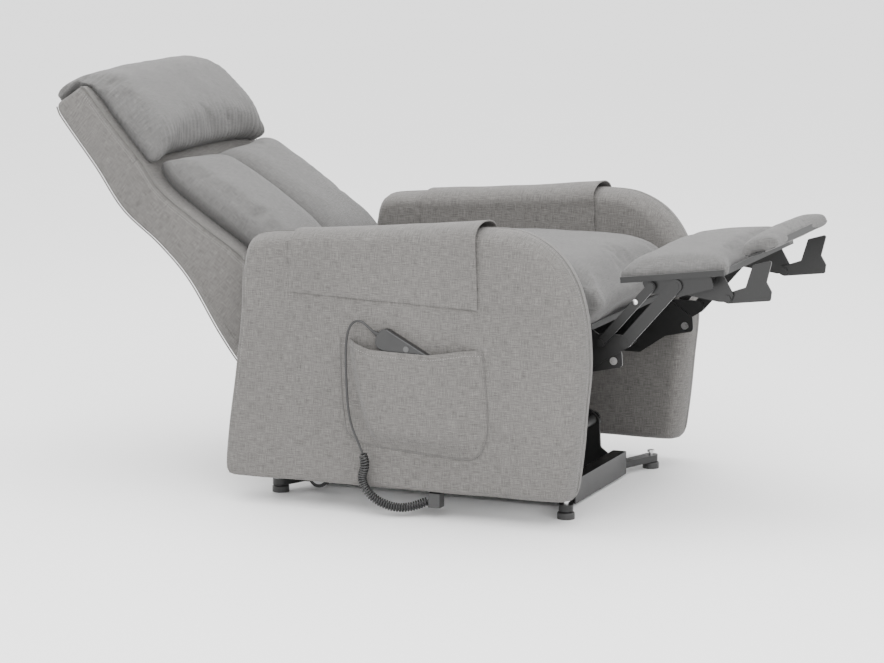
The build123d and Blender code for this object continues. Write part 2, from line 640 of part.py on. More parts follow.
def cord_tube(name, points, diameter):
    """Plain round tube along a cord's route."""
    route, radii = cord_path(points)
    print(name, "radii", [round(radius, 1) for radius in radii])
    with BuildPart() as tube:
        with BuildLine():
            line = FilletPolyline(*route, radius=radii)
        with BuildSketch(Plane(origin=route[0], z_dir=route[1] - route[0])):
            Circle(diameter / 2)
        sweep(path=line)
    expected = math.pi * diameter ** 2 / 4 * line.length
    print(name, "length", round(line.length, 1), "volume", round(tube.part.volume), "expected", round(expected))
    finish(name, tube.part)


cord_tube("handset_lead", LEAD_POINTS, LEAD_D)
cord_tube("handset_coil", COIL_POINTS, COIL_D)

GLAND = (577.0, 603.0)            # rear and front of the socket under the arm
with BuildPart() as cord_socket:
    with BuildSketch(side(-HALF + 42.0)):
        with Locations(((GLAND[0] + GLAND[1]) / 2, (ARM_BOTTOM + 24.0) / 2)):
            Rectangle(GLAND[1] - GLAND[0], ARM_BOTTOM - 24.0)
    extrude(amount=28.0)
    fillet(cord_socket.edges().filter_by(Axis.Z), 3.0)
finish("cord_socket", cord_socket.part)

with BuildPart() as control_box:
    with BuildSketch(Plane.XY.offset(RAIL_TOP - RAIL - 44.0)):
        with Locations(plan(-66.0, 437.0)):
            RectangleRounded(90.0, 150.0, 8.0)
    extrude(amount=44.0)
with BuildPart() as control_box_mount:
    with BuildSketch(Plane.XY.offset(RAIL_TOP - RAIL)):
        with Locations(plan(-66.0, 437.0)):
            Rectangle(60.0, 246.0)
    extrude(amount=-3.0)
with BuildPart() as hung_box:
    add(control_box.part)
    add(control_box_mount.part)
finish("control_box", hung_box.part)

# ---- back ---------------------------------------------------------------------------------
def back_side(x):
    """Plane of the back's own profiles: the first axis runs up the back from the hinge,
    the second one points out of it, away from the sitter."""
    along = math.radians(90.0 + BACK_TILT)
    return Plane(origin=(x, MIDDLE - BACK_HINGE[0], BACK_HINGE[1]),
                 x_dir=(0, -math.cos(along), math.sin(along)), z_dir=(-1, 0, 0))


def on_back(place):
    """(along the back, towards the sitter) of a (forward, up) place."""
    forward, up = place[0] - BACK_HINGE[0], place[1] - BACK_HINGE[1]
    angle = math.radians(BACK_TILT)
    return (up * math.cos(angle) - forward * math.sin(angle), forward * math.cos(angle) + up * math.sin(angle))


TOP = BACK_LENGTH + 26.0          # the hinge lies a little in front of the shell's foot
DRAWN_TOP = 768.0                 # the same in the profiles as they are written down
BACK_FOOT = 165.0                 # a longer or shorter back changes above this


def lean(*points):
    """Back profile points as (along the back, towards the sitter)."""
    stretch = (TOP - BACK_FOOT) / (DRAWN_TOP - BACK_FOOT)
    return [(along if along < BACK_FOOT else BACK_FOOT + (along - BACK_FOOT) * stretch, -depth)
            for along, depth in points]


def shell_outline(inset=0.0):
    """Closed profile of the back shell: an S-shaped rear and a nearly straight front."""
    rear = [(12.0, -132.0), (76.0, -130.0), (164.0, -110.0), (290.0, -71.0), (387.0, -61.0),
            (496.0, -63.0), (600.0, -37.0), (734.0 - inset, -8.0)]
    front = [(734.0 - inset, 76.0), (532.0, 46.0), (458.0, 30.0), (230.0, 52.0), (120.0, 42.0),
             (38.0, -62.0)]
    rear = lean(*[(along, depth + inset) for along, depth in rear])
    front = lean(*[(along, depth - inset) for along, depth in front])
    with BuildSketch(Plane.XY) as outline:
        with BuildLine():
            Spline(*rear)
            Polyline(rear[-1], lean((756.0 - inset, 8.0))[0], front[0])
            Spline(*front[:-1])
            Polyline(front[-2], front[-1], rear[0])
        make_face()
    return outline.sketch


UPRIGHT_X = LINK_A + PLATE
with BuildPart() as back_core:
    with BuildSketch(back_side(BODY_HALF - BACK_SKIN)):
        add(shell_outline(BACK_SKIN))
    extrude(amount=2 * (BODY_HALF - BACK_SKIN))

with BuildPart() as back_shell:
    with BuildSketch(back_side(BODY_HALF)):
        add(shell_outline())
    extrude(amount=2 * BODY_HALF)
    add(back_core.part, mode=Mode.SUBTRACT)
    with BuildSketch(back_side(BODY_HALF - BACK_SKIN)):
        with Locations(lean((38.0, -60.0))[0]):
            Rectangle(186.0, 212.0)
    extrude(amount=2 * (BODY_HALF - BACK_SKIN), mode=Mode.SUBTRACT)
finish("back_shell", back_shell.part)

with BuildPart() as back_uprights:
    with BuildSketch(back_side(-UPRIGHT_X)):
        with BuildLine():
            Polyline(*lean((100.0, -90.0), (190.0, -84.0), (330.0, -30.0), (500.0, -40.0), (708.0, 14.0),
                           (708.0, 40.0), (530.0, 16.0), (458.0, 2.0), (230.0, 24.0), (120.0, 10.0)),
                     close=True)
        make_face()
    extrude(amount=BODY_HALF - BACK_SKIN - UPRIGHT_X)

with BuildPart() as back_frame:
    add(back_uprights.part)
    mirror(about=Plane.YZ)
    with BuildSketch(back_side(UPRIGHT_X)):
        with Locations(*lean((186.0, -30.0), (430.0, -22.0), (678.0, 18.0))):
            Rectangle(46.0, 20.0)
    extrude(amount=2 * UPRIGHT_X)
finish("back_frame", back_frame.part)

with BuildPart() as back_bracket:
    with BuildSketch(back_side(-LINK_A)):
        with BuildLine():
            Polyline(*lean((-16.0, -14.0), (-16.0, 16.0), (16.0, 18.0), (120.0, 16.0), (160.0, 10.0),
                           (160.0, -60.0), (120.0, -70.0)), close=True)
        make_face()
        fillet(vertices(), 7.0)
        Circle(LIFT_PIN_R + FIT, mode=Mode.SUBTRACT)
    extrude(amount=PLATE)

lever_end = on_back(BACK_LEVER)
with BuildPart() as back_lever:
    with BuildSketch(back_side(-CLEVIS_X)):
        with BuildLine():
            Polyline(*lean((163.0, -50.0), (163.0, -10.0), (lever_end[0] + 12.0, lever_end[1] + 16.0),
                           (lever_end[0] - 14.0, lever_end[1] + 9.0), (lever_end[0] - 14.0, lever_end[1] - 9.0),
                           (lever_end[0] + 12.0, lever_end[1] - 16.0)), close=True)
        make_face()
        fillet(vertices(), 4.0)
        with Locations(*lean(lever_end)):
            Circle(LIFT_PIN_R, mode=Mode.SUBTRACT)
    extrude(amount=PLATE)
both_sides("back_brackets", back_bracket.part, back_lever.part,
           pin(0.0, CLEVIS_X + PLATE, BACK_LEVER, LIFT_PIN_R, 0.0, HEAD))

CUSHION_HALF = BODY_HALF - 18.0
with BuildPart() as lumbar_cushion:
    with BuildSketch(back_side(CUSHION_HALF)):
        with BuildLine():
            Spline(*lean((92.0, 20.0), (88.0, 76.0), (150.0, 114.0), (220.0, 122.0), (320.0, 114.0),
                         (430.0, 92.0), (498.0, 70.0), (506.0, 46.0)))
            Polyline(*lean((506.0, 46.0), (458.0, 33.0), (230.0, 55.0), (130.0, 40.0), (92.0, 20.0)))
        make_face()
    extrude(amount=2 * CUSHION_HALF)
    add(back_shell.part, mode=Mode.SUBTRACT)
finish("lumbar_cushion", lumbar_cushion.part)

with BuildPart() as head_pillow:
    with BuildSketch(back_side(BODY_HALF + 1.0)):
        with BuildLine():
            Spline(*lean((512.0, 46.0), (508.0, 74.0), (560.0, 108.0), (640.0, 118.0), (712.0, 108.0),
                         (770.0, 62.0), (774.0, 16.0), (760.0, 4.0)))
            Polyline(*lean((760.0, 4.0), (756.0, 8.0), (734.0, 76.0), (532.0, 48.0), (512.0, 46.0)))
        make_face()
    extrude(amount=2 * BODY_HALF + 2.0)
    add(back_shell.part, mode=Mode.SUBTRACT)
finish("head_pillow", head_pillow.part)

# ---- footrest linkage -----------------------------------------------------------------------
short_low = (LONG_LINK[0][0] + LINK_STEP[0], LONG_LINK[0][1] + LINK_STEP[1])
short_high = (LONG_LINK[1][0] + LINK_STEP[0], LONG_LINK[1][1] + LINK_STEP[1])
ARM_TIP = LONG_LINK[0]
with BuildPart() as footrest_arm:
    with BuildSketch(side(-LINK_A)):
        with Locations(FOOT_HINGE):
            Circle(TORQUE_R + 8.0)
        with Locations(short_low):
            Circle(17.0)
        with Locations(ARM_TIP):
            Circle(13.0)
        make_hull()
        for centre, radius in ((FOOT_HINGE, TORQUE_R), (short_low, PIN_R), (ARM_TIP, PIN_R)):
            with Locations(centre):
                Circle(radius, mode=Mode.SUBTRACT)
    extrude(amount=PLATE)

with BuildPart() as footrest_torque_tube:
    with BuildSketch(side(LINK_A + PLATE)):
        with Locations(FOOT_HINGE):
            Circle(TORQUE_R)
            Circle(TORQUE_R - 3.0, mode=Mode.SUBTRACT)
    extrude(amount=2 * (LINK_A + PLATE))
    add(footrest_arm.part)
    mirror(footrest_arm.part, about=Plane.YZ)
finish("footrest_arms", footrest_torque_tube.part)

both_sides("footrest_arm_rivets",
           pin(LINK_A, LINK_B + PLATE, ARM_TIP, PIN_R, 0.0, HEAD - 1.2),
           pin(LINK_A, LINK_C + PLATE, short_low, PIN_R, 0.0, HEAD))
both_sides("long_footrest_links", strap(LINK_B, PLATE, *LONG_LINK, 26.0, PIN_R + FIT, PIN_R + FIT))
both_sides("short_footrest_links", strap(LINK_C, PLATE, short_low, short_high, 18.0, PIN_R + FIT, PIN_R + FIT))

# ---- footrest and flap -----------------------------------------------------------------------
def pad_side(x):
    """Plane of the footrest's own profiles: from its lower heel edge, along and out of it."""
    return tilted(x, BOARD_HEEL, BOARD_TILT)


def on_pad(along, out):
    """(forward, up) of a place given along and out of the footrest."""
    angle = math.radians(BOARD_TILT)
    return (BOARD_HEEL[0] + along * math.cos(angle) - out * math.sin(angle),
            BOARD_HEEL[1] + along * math.sin(angle) + out * math.cos(angle))


BOARD_EDGE = 9.0                  # cloth and padding around the edge of a board
with BuildPart() as footrest_board:
    with BuildSketch(pad_side(PAD_HALF - BOARD_EDGE)):
        with Locations(((PAD_LENGTH + 4.0) / 2, BOARD / 2)):
            Rectangle(PAD_LENGTH - 2 * BOARD_EDGE, BOARD)
    extrude(amount=2 * (PAD_HALF - BOARD_EDGE))
finish("footrest_board", footrest_board.part)

with BuildPart() as footrest_pad:
    with BuildSketch(pad_side(PAD_HALF)):
        with BuildLine():
            Polyline((4.0, PAD_THICK - 14.0), (4.0, 0.0), (PAD_LENGTH + 4.0, 0.0), (PAD_LENGTH + 4.0, PAD_THICK - 14.0))
            Spline((PAD_LENGTH + 4.0, PAD_THICK - 14.0), (PAD_LENGTH - 8.0, PAD_THICK - 3.0),
                   (PAD_LENGTH / 2, PAD_THICK), (14.0, PAD_THICK - 5.0), (4.0, PAD_THICK - 14.0))
        make_face()
    extrude(amount=2 * PAD_HALF)
    add(footrest_board.part, mode=Mode.SUBTRACT)
finish("footrest_pad", footrest_pad.part)

footrest_plate = plate(
    LINK_A, PLATE,
    [on_pad(54.0, 0.0), on_pad(200.0, 0.0), on_pad(204.0, -24.0), on_pad(132.0, -36.0),
     on_pad(64.0, -24.0)],
    [(LONG_LINK[1], PIN_R), (short_high, PIN_R)], 4.0)

with BuildPart() as plate_rails:
    for along in (130.0, 190.0):
        with BuildSketch(side(-EXTENSION_X - PLATE)):
            with Locations(on_pad(along, -9.0)):
                Rectangle(14.0, 12.0, rotation=BOARD_TILT)
        extrude(amount=LINK_A - EXTENSION_X - PLATE)
flap_carrier = plate(
    EXTENSION_X, PLATE,
    [on_pad(70.0, 0.0), on_pad(214.0, 0.0), on_pad(232.0, -44.0), on_pad(224.0, -58.0), on_pad(200.0, -56.0),
     on_pad(120.0, -34.0)],
    [(FLAP_HINGE, PIN_R)], 4.0)
both_sides("footrest_plates", footrest_plate, plate_rails.part, flap_carrier)

both_sides("footrest_rivets",
           pin(LINK_A, LINK_B + PLATE, LONG_LINK[1], PIN_R, 0.0, HEAD - 1.2),
           pin(LINK_A, LINK_C + PLATE, short_high, PIN_R, 0.0, HEAD),
           pin(FLAP_X, EXTENSION_X + PLATE, FLAP_HINGE, PIN_R, HEAD, HEAD))

FLAP_HEEL = 250.0                 # along the footrest, heel edge of the flap
FLAP_LIFT = 27.0                  # out of the footrest, underside of the flap
FLAP_RISE = 12.0                  # extra tilt of the flap
flap_origin = on_pad(FLAP_HEEL, FLAP_LIFT)


def flap_side(x):
    """Plane of the flap's own profiles, from its lower heel edge."""
    return tilted(x, flap_origin, BOARD_TILT + FLAP_RISE)


with BuildPart() as flap_board:
    with BuildSketch(flap_side(FLAP_HALF - BOARD_EDGE)):
        with Locations((FLAP_LENGTH / 2, BOARD / 2)):
            Rectangle(FLAP_LENGTH - 2 * BOARD_EDGE, BOARD)
    extrude(amount=2 * (FLAP_HALF - BOARD_EDGE))
finish("flap_board", flap_board.part)

with BuildPart() as flap_pad:
    with BuildSketch(flap_side(FLAP_HALF)):
        with BuildLine():
            Polyline((0.0, FLAP_THICK - 12.0), (0.0, 0.0), (FLAP_LENGTH, 0.0), (FLAP_LENGTH, FLAP_THICK - 12.0))
            Spline((FLAP_LENGTH, FLAP_THICK - 12.0), (FLAP_LENGTH - 14.0, FLAP_THICK - 2.0),
                   (FLAP_LENGTH / 2, FLAP_THICK), (14.0, FLAP_THICK - 2.0), (0.0, FLAP_THICK - 12.0))
        make_face()
    extrude(amount=2 * FLAP_HALF)
    add(flap_board.part, mode=Mode.SUBTRACT)
finish("flap_pad", flap_pad.part)

with BuildPart() as flap_bracket:
    with BuildSketch(side(-FLAP_X)):
        with BuildLine():
            Polyline((1140.0, 456.0), (1150.0, 453.0), (1238.0, 464.0), (1240.0, 482.0), (1229.0, 501.0),
                     (1240.0, 546.0), (1200.0, 534.0), (1186.0, 488.0), (1150.0, 475.0), (1140.0, 472.0), close=True)
        make_face()
        fillet(vertices(), 4.0)
        with Locations(FLAP_HINGE):
            Circle(PIN_R + FIT, mode=Mode.SUBTRACT)
    extrude(amount=PLATE)
    with BuildSketch(flap_side(-FLAP_HALF + 44.0)):
        with Locations((FLAP_LENGTH / 2 - 6.0, -1.5)):
            Rectangle(30.0, 3.0)
    extrude(amount=44.0 + FLAP_X - FLAP_HALF + PLATE)
both_sides("flap_brackets", flap_bracket.part)
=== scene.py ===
"""Looks of a lift recliner chair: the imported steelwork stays, the upholstery is made here."""
import json
import math

import bpy
import numpy
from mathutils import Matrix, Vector, noise


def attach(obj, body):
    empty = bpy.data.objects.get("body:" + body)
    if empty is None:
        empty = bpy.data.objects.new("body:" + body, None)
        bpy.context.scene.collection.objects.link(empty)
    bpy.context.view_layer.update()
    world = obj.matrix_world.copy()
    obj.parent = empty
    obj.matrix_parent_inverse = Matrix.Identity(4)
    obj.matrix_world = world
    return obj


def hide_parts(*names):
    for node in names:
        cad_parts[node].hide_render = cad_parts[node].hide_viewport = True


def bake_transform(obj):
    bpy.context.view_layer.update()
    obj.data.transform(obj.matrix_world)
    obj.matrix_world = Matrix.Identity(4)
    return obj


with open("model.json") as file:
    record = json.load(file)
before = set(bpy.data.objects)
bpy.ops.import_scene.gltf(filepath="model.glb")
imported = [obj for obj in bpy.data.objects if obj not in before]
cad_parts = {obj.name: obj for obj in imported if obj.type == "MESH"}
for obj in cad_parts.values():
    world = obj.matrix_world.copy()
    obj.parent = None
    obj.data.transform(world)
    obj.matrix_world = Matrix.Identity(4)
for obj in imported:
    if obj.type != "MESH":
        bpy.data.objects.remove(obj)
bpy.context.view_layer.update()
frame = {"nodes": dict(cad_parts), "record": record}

nodes = frame["nodes"]

# ---- places ------------------------------------------------------------------
MIDDLE = 460.0            # forward distance of the origin in the chair's profiles
BACK_HINGE = (250.0, 310.0)
BACK_TILT = math.radians(50.0)
BOARD_HEEL = (927.0, 486.0)
BOARD_TILT = math.radians(7.4)
FLAP_RISE = math.radians(12.0)
ARM_MID = 335.0           # middle of an arm, from the chair's middle
ARM_HALF = 55.0
ARM_ROUND = 34.0          # how far the arm's rim curves in at its faces
BODY_HALF = 270.0
CUSHION_HALF = 252.0
PAD_HALF = 245.0
FLAP_HALF = 185.0


def at(x, forward, up):
    """A point in metres from millimetres across, forward and up."""
    return Vector((x, MIDDLE - forward, up)) / 1000


def on_back(along, depth):
    """(forward, up) of a place up the back from its hinge and out towards the sitter."""
    return (BACK_HINGE[0] - along * math.sin(BACK_TILT) + depth * math.cos(BACK_TILT),
            BACK_HINGE[1] + along * math.cos(BACK_TILT) + depth * math.sin(BACK_TILT))


def on_board(along, out, heel=BOARD_HEEL, tilt=BOARD_TILT):
    """(forward, up) of a place along a footrest board and out of it."""
    return (heel[0] + along * math.cos(tilt) - out * math.sin(tilt),
            heel[1] + along * math.sin(tilt) + out * math.cos(tilt))


# ---- camera ------------------------------------------------------------------
CAMERA_LENS = 131.7
CAMERA_PLACE = (-6.268, -2.6375, 1.5208)
CAMERA_TARGET = Vector((0.0, 0.010, 0.3173))
camera_data = bpy.data.cameras.new("camera")
camera_data.sensor_width, camera_data.lens, camera_data.clip_end = 36.0, CAMERA_LENS, 200.0
camera = bpy.data.objects.new("camera", camera_data)
bpy.context.scene.collection.objects.link(camera)
camera.location = CAMERA_PLACE
camera.rotation_euler = (CAMERA_TARGET - camera.location).to_track_quat("-Z", "Y").to_euler()
bpy.context.scene.camera = camera


# ---- materials -----------------------------------------------------------------
class Socket:
    """A node's output that takes part in sums as a number does."""

    def __init__(self, finish, plug):
        self.finish, self.plug = finish, plug

    def sum(self, operation, first, second):
        return self.finish.node("ShaderNodeMath", {"operation": operation}, {0: first, 1: second})

    def __add__(self, other):
        return self.sum("ADD", self, other)

    __radd__ = __add__

    def __sub__(self, other):
        return self.sum("SUBTRACT", self, other)

    def __rsub__(self, other):
        return self.sum("SUBTRACT", other, self)

    def __mul__(self, other):
        return self.sum("MULTIPLY", self, other)

    __rmul__ = __mul__


class Finish:
    """One material with the nodes that colour and roughen it."""

    def __init__(self, name, **fixed):
        self.material = bpy.data.materials.new(name)
        self.material.use_nodes = True
        self.tree = self.material.node_tree
        self.shader = self.tree.nodes["Principled BSDF"]
        for socket, value in fixed.items():
            self.shader.inputs[socket.replace("_", " ")].default_value = value

    def node(self, kind, settings=None, inputs=None, output=0):
        """Adds a node: its settings first, then its sockets."""
        made = self.tree.nodes.new(kind)
        for setting, value in (settings or {}).items():
            setattr(made, setting, value)
        for socket, value in (inputs or {}).items():
            if isinstance(value, Socket):
                self.tree.links.new(value.plug, made.inputs[socket])
            else:
                made.inputs[socket].default_value = value
        return Socket(self, made.outputs[output])

    def feed(self, socket, value):
        self.tree.links.new(value.plug, self.shader.inputs[socket])

    def noise(self, place, scale, detail=2.0, roughness=0.5):
        return self.node("ShaderNodeTexNoise", None,
                         {"Vector": place, "Scale": scale, "Detail": detail, "Roughness": roughness})

    def stretch(self, place, scale):
        return self.node("ShaderNodeMapping", None, {"Vector": place, "Scale": scale})

    def blend(self, amount, first, second):
        return self.node("ShaderNodeMix", {"data_type": "RGBA"}, {0: amount, 6: first, 7: second}, 2)

    def bump(self, height, distance, strength=1.0):
        self.feed("Normal", self.node("ShaderNodeBump", None,
                                      {"Strength": strength, "Distance": distance, "Height": height}))


def grey(level, warm=0.0):
    return (level * (1 + warm), level, level * (1 - warm), 1.0)


def cloth_finish(name, light, dark, slub=1.0):
    """Linen-like weave on the piece's own flat map, in metres: slubby yarns both ways."""
    finish = Finish(name, Roughness=0.92, Sheen_Weight=0.12, Sheen_Roughness=0.5, Specular_IOR_Level=0.25)
    flat = finish.node("ShaderNodeUVMap", {"uv_map": "weave"})
    weft = finish.noise(finish.stretch(flat, (46.0, 760.0, 1.0)), 1.0, 3.0, 0.6)
    warp = finish.noise(finish.stretch(flat, (760.0, 46.0, 1.0)), 1.0, 3.0, 0.6)
    fleck = finish.noise(finish.stretch(flat, (900.0, 900.0, 1.0)), 1.0, 1.0)
    cloud = finish.noise(finish.node("ShaderNodeTexCoord", output=3), 3.0, 2.0)
    yarns = weft * 0.55 + warp * 0.45
    shade = finish.node("ShaderNodeMapRange", None,
                        {0: yarns + (fleck - 0.5) * 0.35 + (cloud - 0.5) * 0.10,
                         1: 0.5 - 0.17 / slub, 2: 0.5 + 0.17 / slub})
    finish.feed("Base Color", finish.blend(shade, dark, light))
    rib_one = finish.node("ShaderNodeTexWave", {"bands_direction": "X"},
                          {"Vector": flat, "Scale": 190.0, "Distortion": 1.2, "Detail": 1.0})
    rib_two = finish.node("ShaderNodeTexWave", {"bands_direction": "Y"},
                          {"Vector": flat, "Scale": 190.0, "Distortion": 1.2, "Detail": 1.0})
    finish.bump(yarns * 0.7 + rib_one * 0.15 + rib_two * 0.15, 0.0016, 0.75)
    return finish.material


def metal_finish(name, base, rubbed, roughness, metallic, coat=0.0):
    finish = Finish(name, Metallic=metallic, Coat_Roughness=0.3, Coat_Weight=coat)
    place = finish.node("ShaderNodeTexCoord", output=3)
    grain = finish.noise(place, 900.0, 2.0)
    cloud = finish.noise(place, 14.0, 3.0)
    scuff = finish.noise(finish.stretch(place, (60.0, 400.0, 60.0)), 1.0, 4.0, 0.7)
    worn = finish.node("ShaderNodeMapRange", None, {0: scuff, 1: 0.62, 2: 0.75})
    finish.feed("Base Color", finish.blend(worn * 0.35 + cloud * 0.12, base, rubbed))
    finish.feed("Roughness", cloud * 0.14 + grain * 0.06 + (roughness - 0.1))
    finish.bump(grain, 0.00012, 0.5)
    return finish.material


def plastic_finish(name, base, roughness, texture=0.00015):
    finish = Finish(name, Specular_IOR_Level=0.45)
    place = finish.node("ShaderNodeTexCoord", output=3)
    pebble = finish.noise(place, 1300.0, 1.0)
    cloud = finish.noise(place, 30.0, 2.0)
    lighter = tuple(min(1.0, channel * 1.5 + 0.006) for channel in base[:3]) + (1.0,)
    finish.feed("Base Color", finish.blend(cloud, base, lighter))
    finish.feed("Roughness", cloud * 0.12 + (roughness - 0.06))
    finish.bump(pebble, texture, 0.6)
    return finish.material


def wood_finish(name):
    finish = Finish(name, Roughness=0.7)
    place = finish.node("ShaderNodeTexCoord", output=3)
    rings = finish.noise(finish.stretch(place, (6.0, 90.0, 90.0)), 1.0, 4.0, 0.6)
    finish.feed("Base Color", finish.blend(rings, (0.42, 0.27, 0.14, 1.0), (0.62, 0.45, 0.27, 1.0)))
    finish.bump(rings, 0.0004, 0.5)
    return finish.material


CLOTH = cloth_finish("grey_linen_weave", grey(0.155, 0.045), grey(0.048, 0.05))
CUSHION_CLOTH = cloth_finish("grey_linen_cushions", grey(0.135, 0.02), grey(0.052, 0.02), 0.9)
PIPING = cloth_finish("grey_linen_piping", grey(0.120, 0.04), grey(0.055, 0.04))
LINING = cloth_finish("dark_lining", grey(0.035), grey(0.018))
THREAD = plastic_finish("stitching_thread", grey(0.16, 0.03), 0.75)
BLACK_STEEL = metal_finish("black_powder_coat", grey(0.007), grey(0.035), 0.40, 0.3, 0.15)
BRIGHT_STEEL = metal_finish("zinc_plated_steel", grey(0.62), grey(0.35), 0.28, 1.0)
MOTOR_PLASTIC = plastic_finish("motor_moulding", grey(0.018), 0.5)
HANDSET_PLASTIC = plastic_finish("handset_moulding", grey(0.012), 0.34, 0.00008)
KEY_RUBBER = plastic_finish("rubber_keys", grey(0.05), 0.6)
SHEATH = plastic_finish("cord_sheath", grey(0.010), 0.36, 0.00005)
FOOT_PLASTIC = plastic_finish("foot_moulding", grey(0.02), 0.5)
HUB_PLASTIC = plastic_finish("grey_wheel_hub", grey(0.35), 0.45)
TYRE = plastic_finish("dark_tyre", grey(0.022), 0.8, 0.0003)
WOOD = wood_finish("raw_plywood")

NODE_FINISHES = {
    "black_steel": BLACK_STEEL, "bright_steel": BRIGHT_STEEL, "motor_plastic": MOTOR_PLASTIC,
    "motor_tube": BRIGHT_STEEL, "handset_plastic": HANDSET_PLASTIC, "button_rubber": KEY_RUBBER,
    "cord_sheath": SHEATH, "foot_plastic": FOOT_PLASTIC, "wheel_plastic": HUB_PLASTIC,
    "wheel_tyre": TYRE, "wood_frame": WOOD, "upholstery": CLOTH, "cushion_cloth": CUSHION_CLOTH}
for entry in frame["record"]["subparts"]:
    for place in nodes[entry["node"]].material_slots:
        place.material = NODE_FINISHES[entry["material_slot"]]
for name in ("seat_deck", "footrest_board", "flap_board"):
    nodes[name].material_slots[0].material = LINING
for name in ("footrest_rivets", "footrest_arm_rivets"):
    nodes[name].material_slots[0].material = BLACK_STEEL


# ---- ways of working ---------------------------------------------------------------
def alone(piece):
    """Makes one piece the only thing selected."""
    bpy.ops.object.select_all(action="DESELECT")
    piece.select_set(True)
    bpy.context.view_layer.objects.active = piece


def apply(piece, kind, **settings):
    """Adds a modifier and applies it."""
    alone(piece)
    modifier = piece.modifiers.new(kind.lower(), kind)
    for setting, value in settings.items():
        setattr(modifier, setting, value)
    bpy.ops.object.modifier_apply(modifier=modifier.name)


def points_of(piece):
    spots = numpy.empty(len(piece.data.vertices) * 3)
    piece.data.vertices.foreach_get("co", spots)
    return spots.reshape(-1, 3)


def normals_of(piece):
    normals = numpy.empty(len(piece.data.vertices) * 3)
    piece.data.vertices.foreach_get("normal", normals)
    return normals.reshape(-1, 3)


def move_to(piece, spots):
    piece.data.vertices.foreach_set("co", numpy.asarray(spots, float).ravel())
    piece.data.update()


def face_outward(piece):
    """Turns all faces of a closed piece to the outside."""
    alone(piece)
    bpy.ops.object.mode_set(mode="EDIT")
    bpy.ops.mesh.select_all(action="SELECT")
    bpy.ops.mesh.normals_make_consistent(inside=False)
    bpy.ops.object.mode_set(mode="OBJECT")


def eased(value):
    """A share from 0 to 1 that leaves and arrives gently."""
    value = min(1.0, max(0.0, value))
    return value * value * (3 - 2 * value)


def grid(name, rows):
    """An open sheet through rows of points."""
    bpy.ops.object.select_all(action="DESELECT")
    bpy.ops.mesh.primitive_grid_add(x_subdivisions=len(rows[0]) - 1, y_subdivisions=len(rows) - 1)
    piece = bpy.context.object
    piece.name = piece.data.name = name
    move_to(piece, [spot for row in rows for spot in row])
    return piece


def loft(name, rings):
    """A closed skin over rings of points: a grid with its seam merged and its ends filled."""
    piece = grid(name, [list(ring) + [ring[0]] for ring in rings])
    bpy.ops.object.mode_set(mode="EDIT")
    bpy.ops.mesh.select_all(action="SELECT")
    bpy.ops.mesh.remove_doubles(threshold=1e-6)
    bpy.ops.mesh.fill_holes(sides=0)
    bpy.ops.mesh.select_all(action="SELECT")
    bpy.ops.mesh.normals_make_consistent(inside=False)
    bpy.ops.object.mode_set(mode="OBJECT")
    return piece


def smooth_line(points, count, closed=False):
    """Evenly spaced points on a smooth line through the given ones."""
    points = numpy.array(points, float)
    total = len(points)
    line = []
    for index in range(total if closed else total - 1):
        if closed:
            corners = [points[(index + step) % total] for step in (-1, 0, 1, 2)]
        else:
            corners = [points[min(max(index + step, 0), total - 1)] for step in (-1, 0, 1, 2)]
        before, start, end, after = corners
        reach = numpy.linalg.norm(end - start)
        lead = (end - before) * reach / (reach + numpy.linalg.norm(start - before) + 1e-9)
        trail = (after - start) * reach / (reach + numpy.linalg.norm(after - end) + 1e-9)
        for t in numpy.linspace(0, 1, 16, endpoint=False):
            line.append((2 * t**3 - 3 * t**2 + 1) * start + (t**3 - 2 * t**2 + t) * lead
                        + (3 * t**2 - 2 * t**3) * end + (t**3 - t**2) * trail)
    line.append(points[0] if closed else points[-1])
    line = numpy.array(line)
    run = numpy.concatenate([[0], numpy.cumsum(numpy.linalg.norm(numpy.diff(line, axis=0), axis=1))])
    stops = numpy.linspace(0, run[-1], count + 1)[:-1] if closed else numpy.linspace(0, run[-1], count)
    return numpy.stack([numpy.interp(stops, run, line[:, axis]) for axis in range(line.shape[1])], axis=1)


def inward(outline, distance):
    """A closed (forward, up) outline taken in by a distance, or by one for each point."""
    ahead = numpy.roll(outline, -1, axis=0) - numpy.roll(outline, 1, axis=0)
    normal = numpy.stack([ahead[:, 1], -ahead[:, 0]], axis=1)
    normal /= numpy.linalg.norm(normal, axis=1)[:, None] + 1e-9
    area = (outline[:, 0] * numpy.roll(outline[:, 1], -1) - outline[:, 1] * numpy.roll(outline[:, 0], -1)).sum()
    return outline - normal * math.copysign(1, area) * numpy.asarray(distance).reshape(-1, 1)


def ring(x, outline):
    return [at(x, forward, up) for forward, up in outline]


def map_weave(piece, lean=0.0):
    """Lays the flat weave map, in metres, on each face from the side it faces most."""
    mesh = piece.data
    layer = mesh.uv_layers.get("weave") or mesh.uv_layers.new(name="weave")
    spots = points_of(piece)
    turn = numpy.array([[1, 0, 0], [0, math.cos(lean), math.sin(lean)], [0, -math.sin(lean), math.cos(lean)]])
    spots = spots @ turn.T
    normals = numpy.empty(len(mesh.polygons) * 3)
    mesh.polygons.foreach_get("normal", normals)
    facing = numpy.abs(normals.reshape(-1, 3) @ turn.T).argmax(axis=1)
    corners = numpy.empty(len(mesh.loops), int)
    mesh.loops.foreach_get("vertex_index", corners)
    sizes = numpy.empty(len(mesh.polygons), int)
    mesh.polygons.foreach_get("loop_total", sizes)
    side = numpy.repeat(facing, sizes)
    across = numpy.where(side == 0, spots[corners, 1], spots[corners, 0])
    upward = numpy.where(side == 2, spots[corners, 1], spots[corners, 2])
    layer.data.foreach_set("uv", numpy.stack([across, upward], axis=1).ravel())


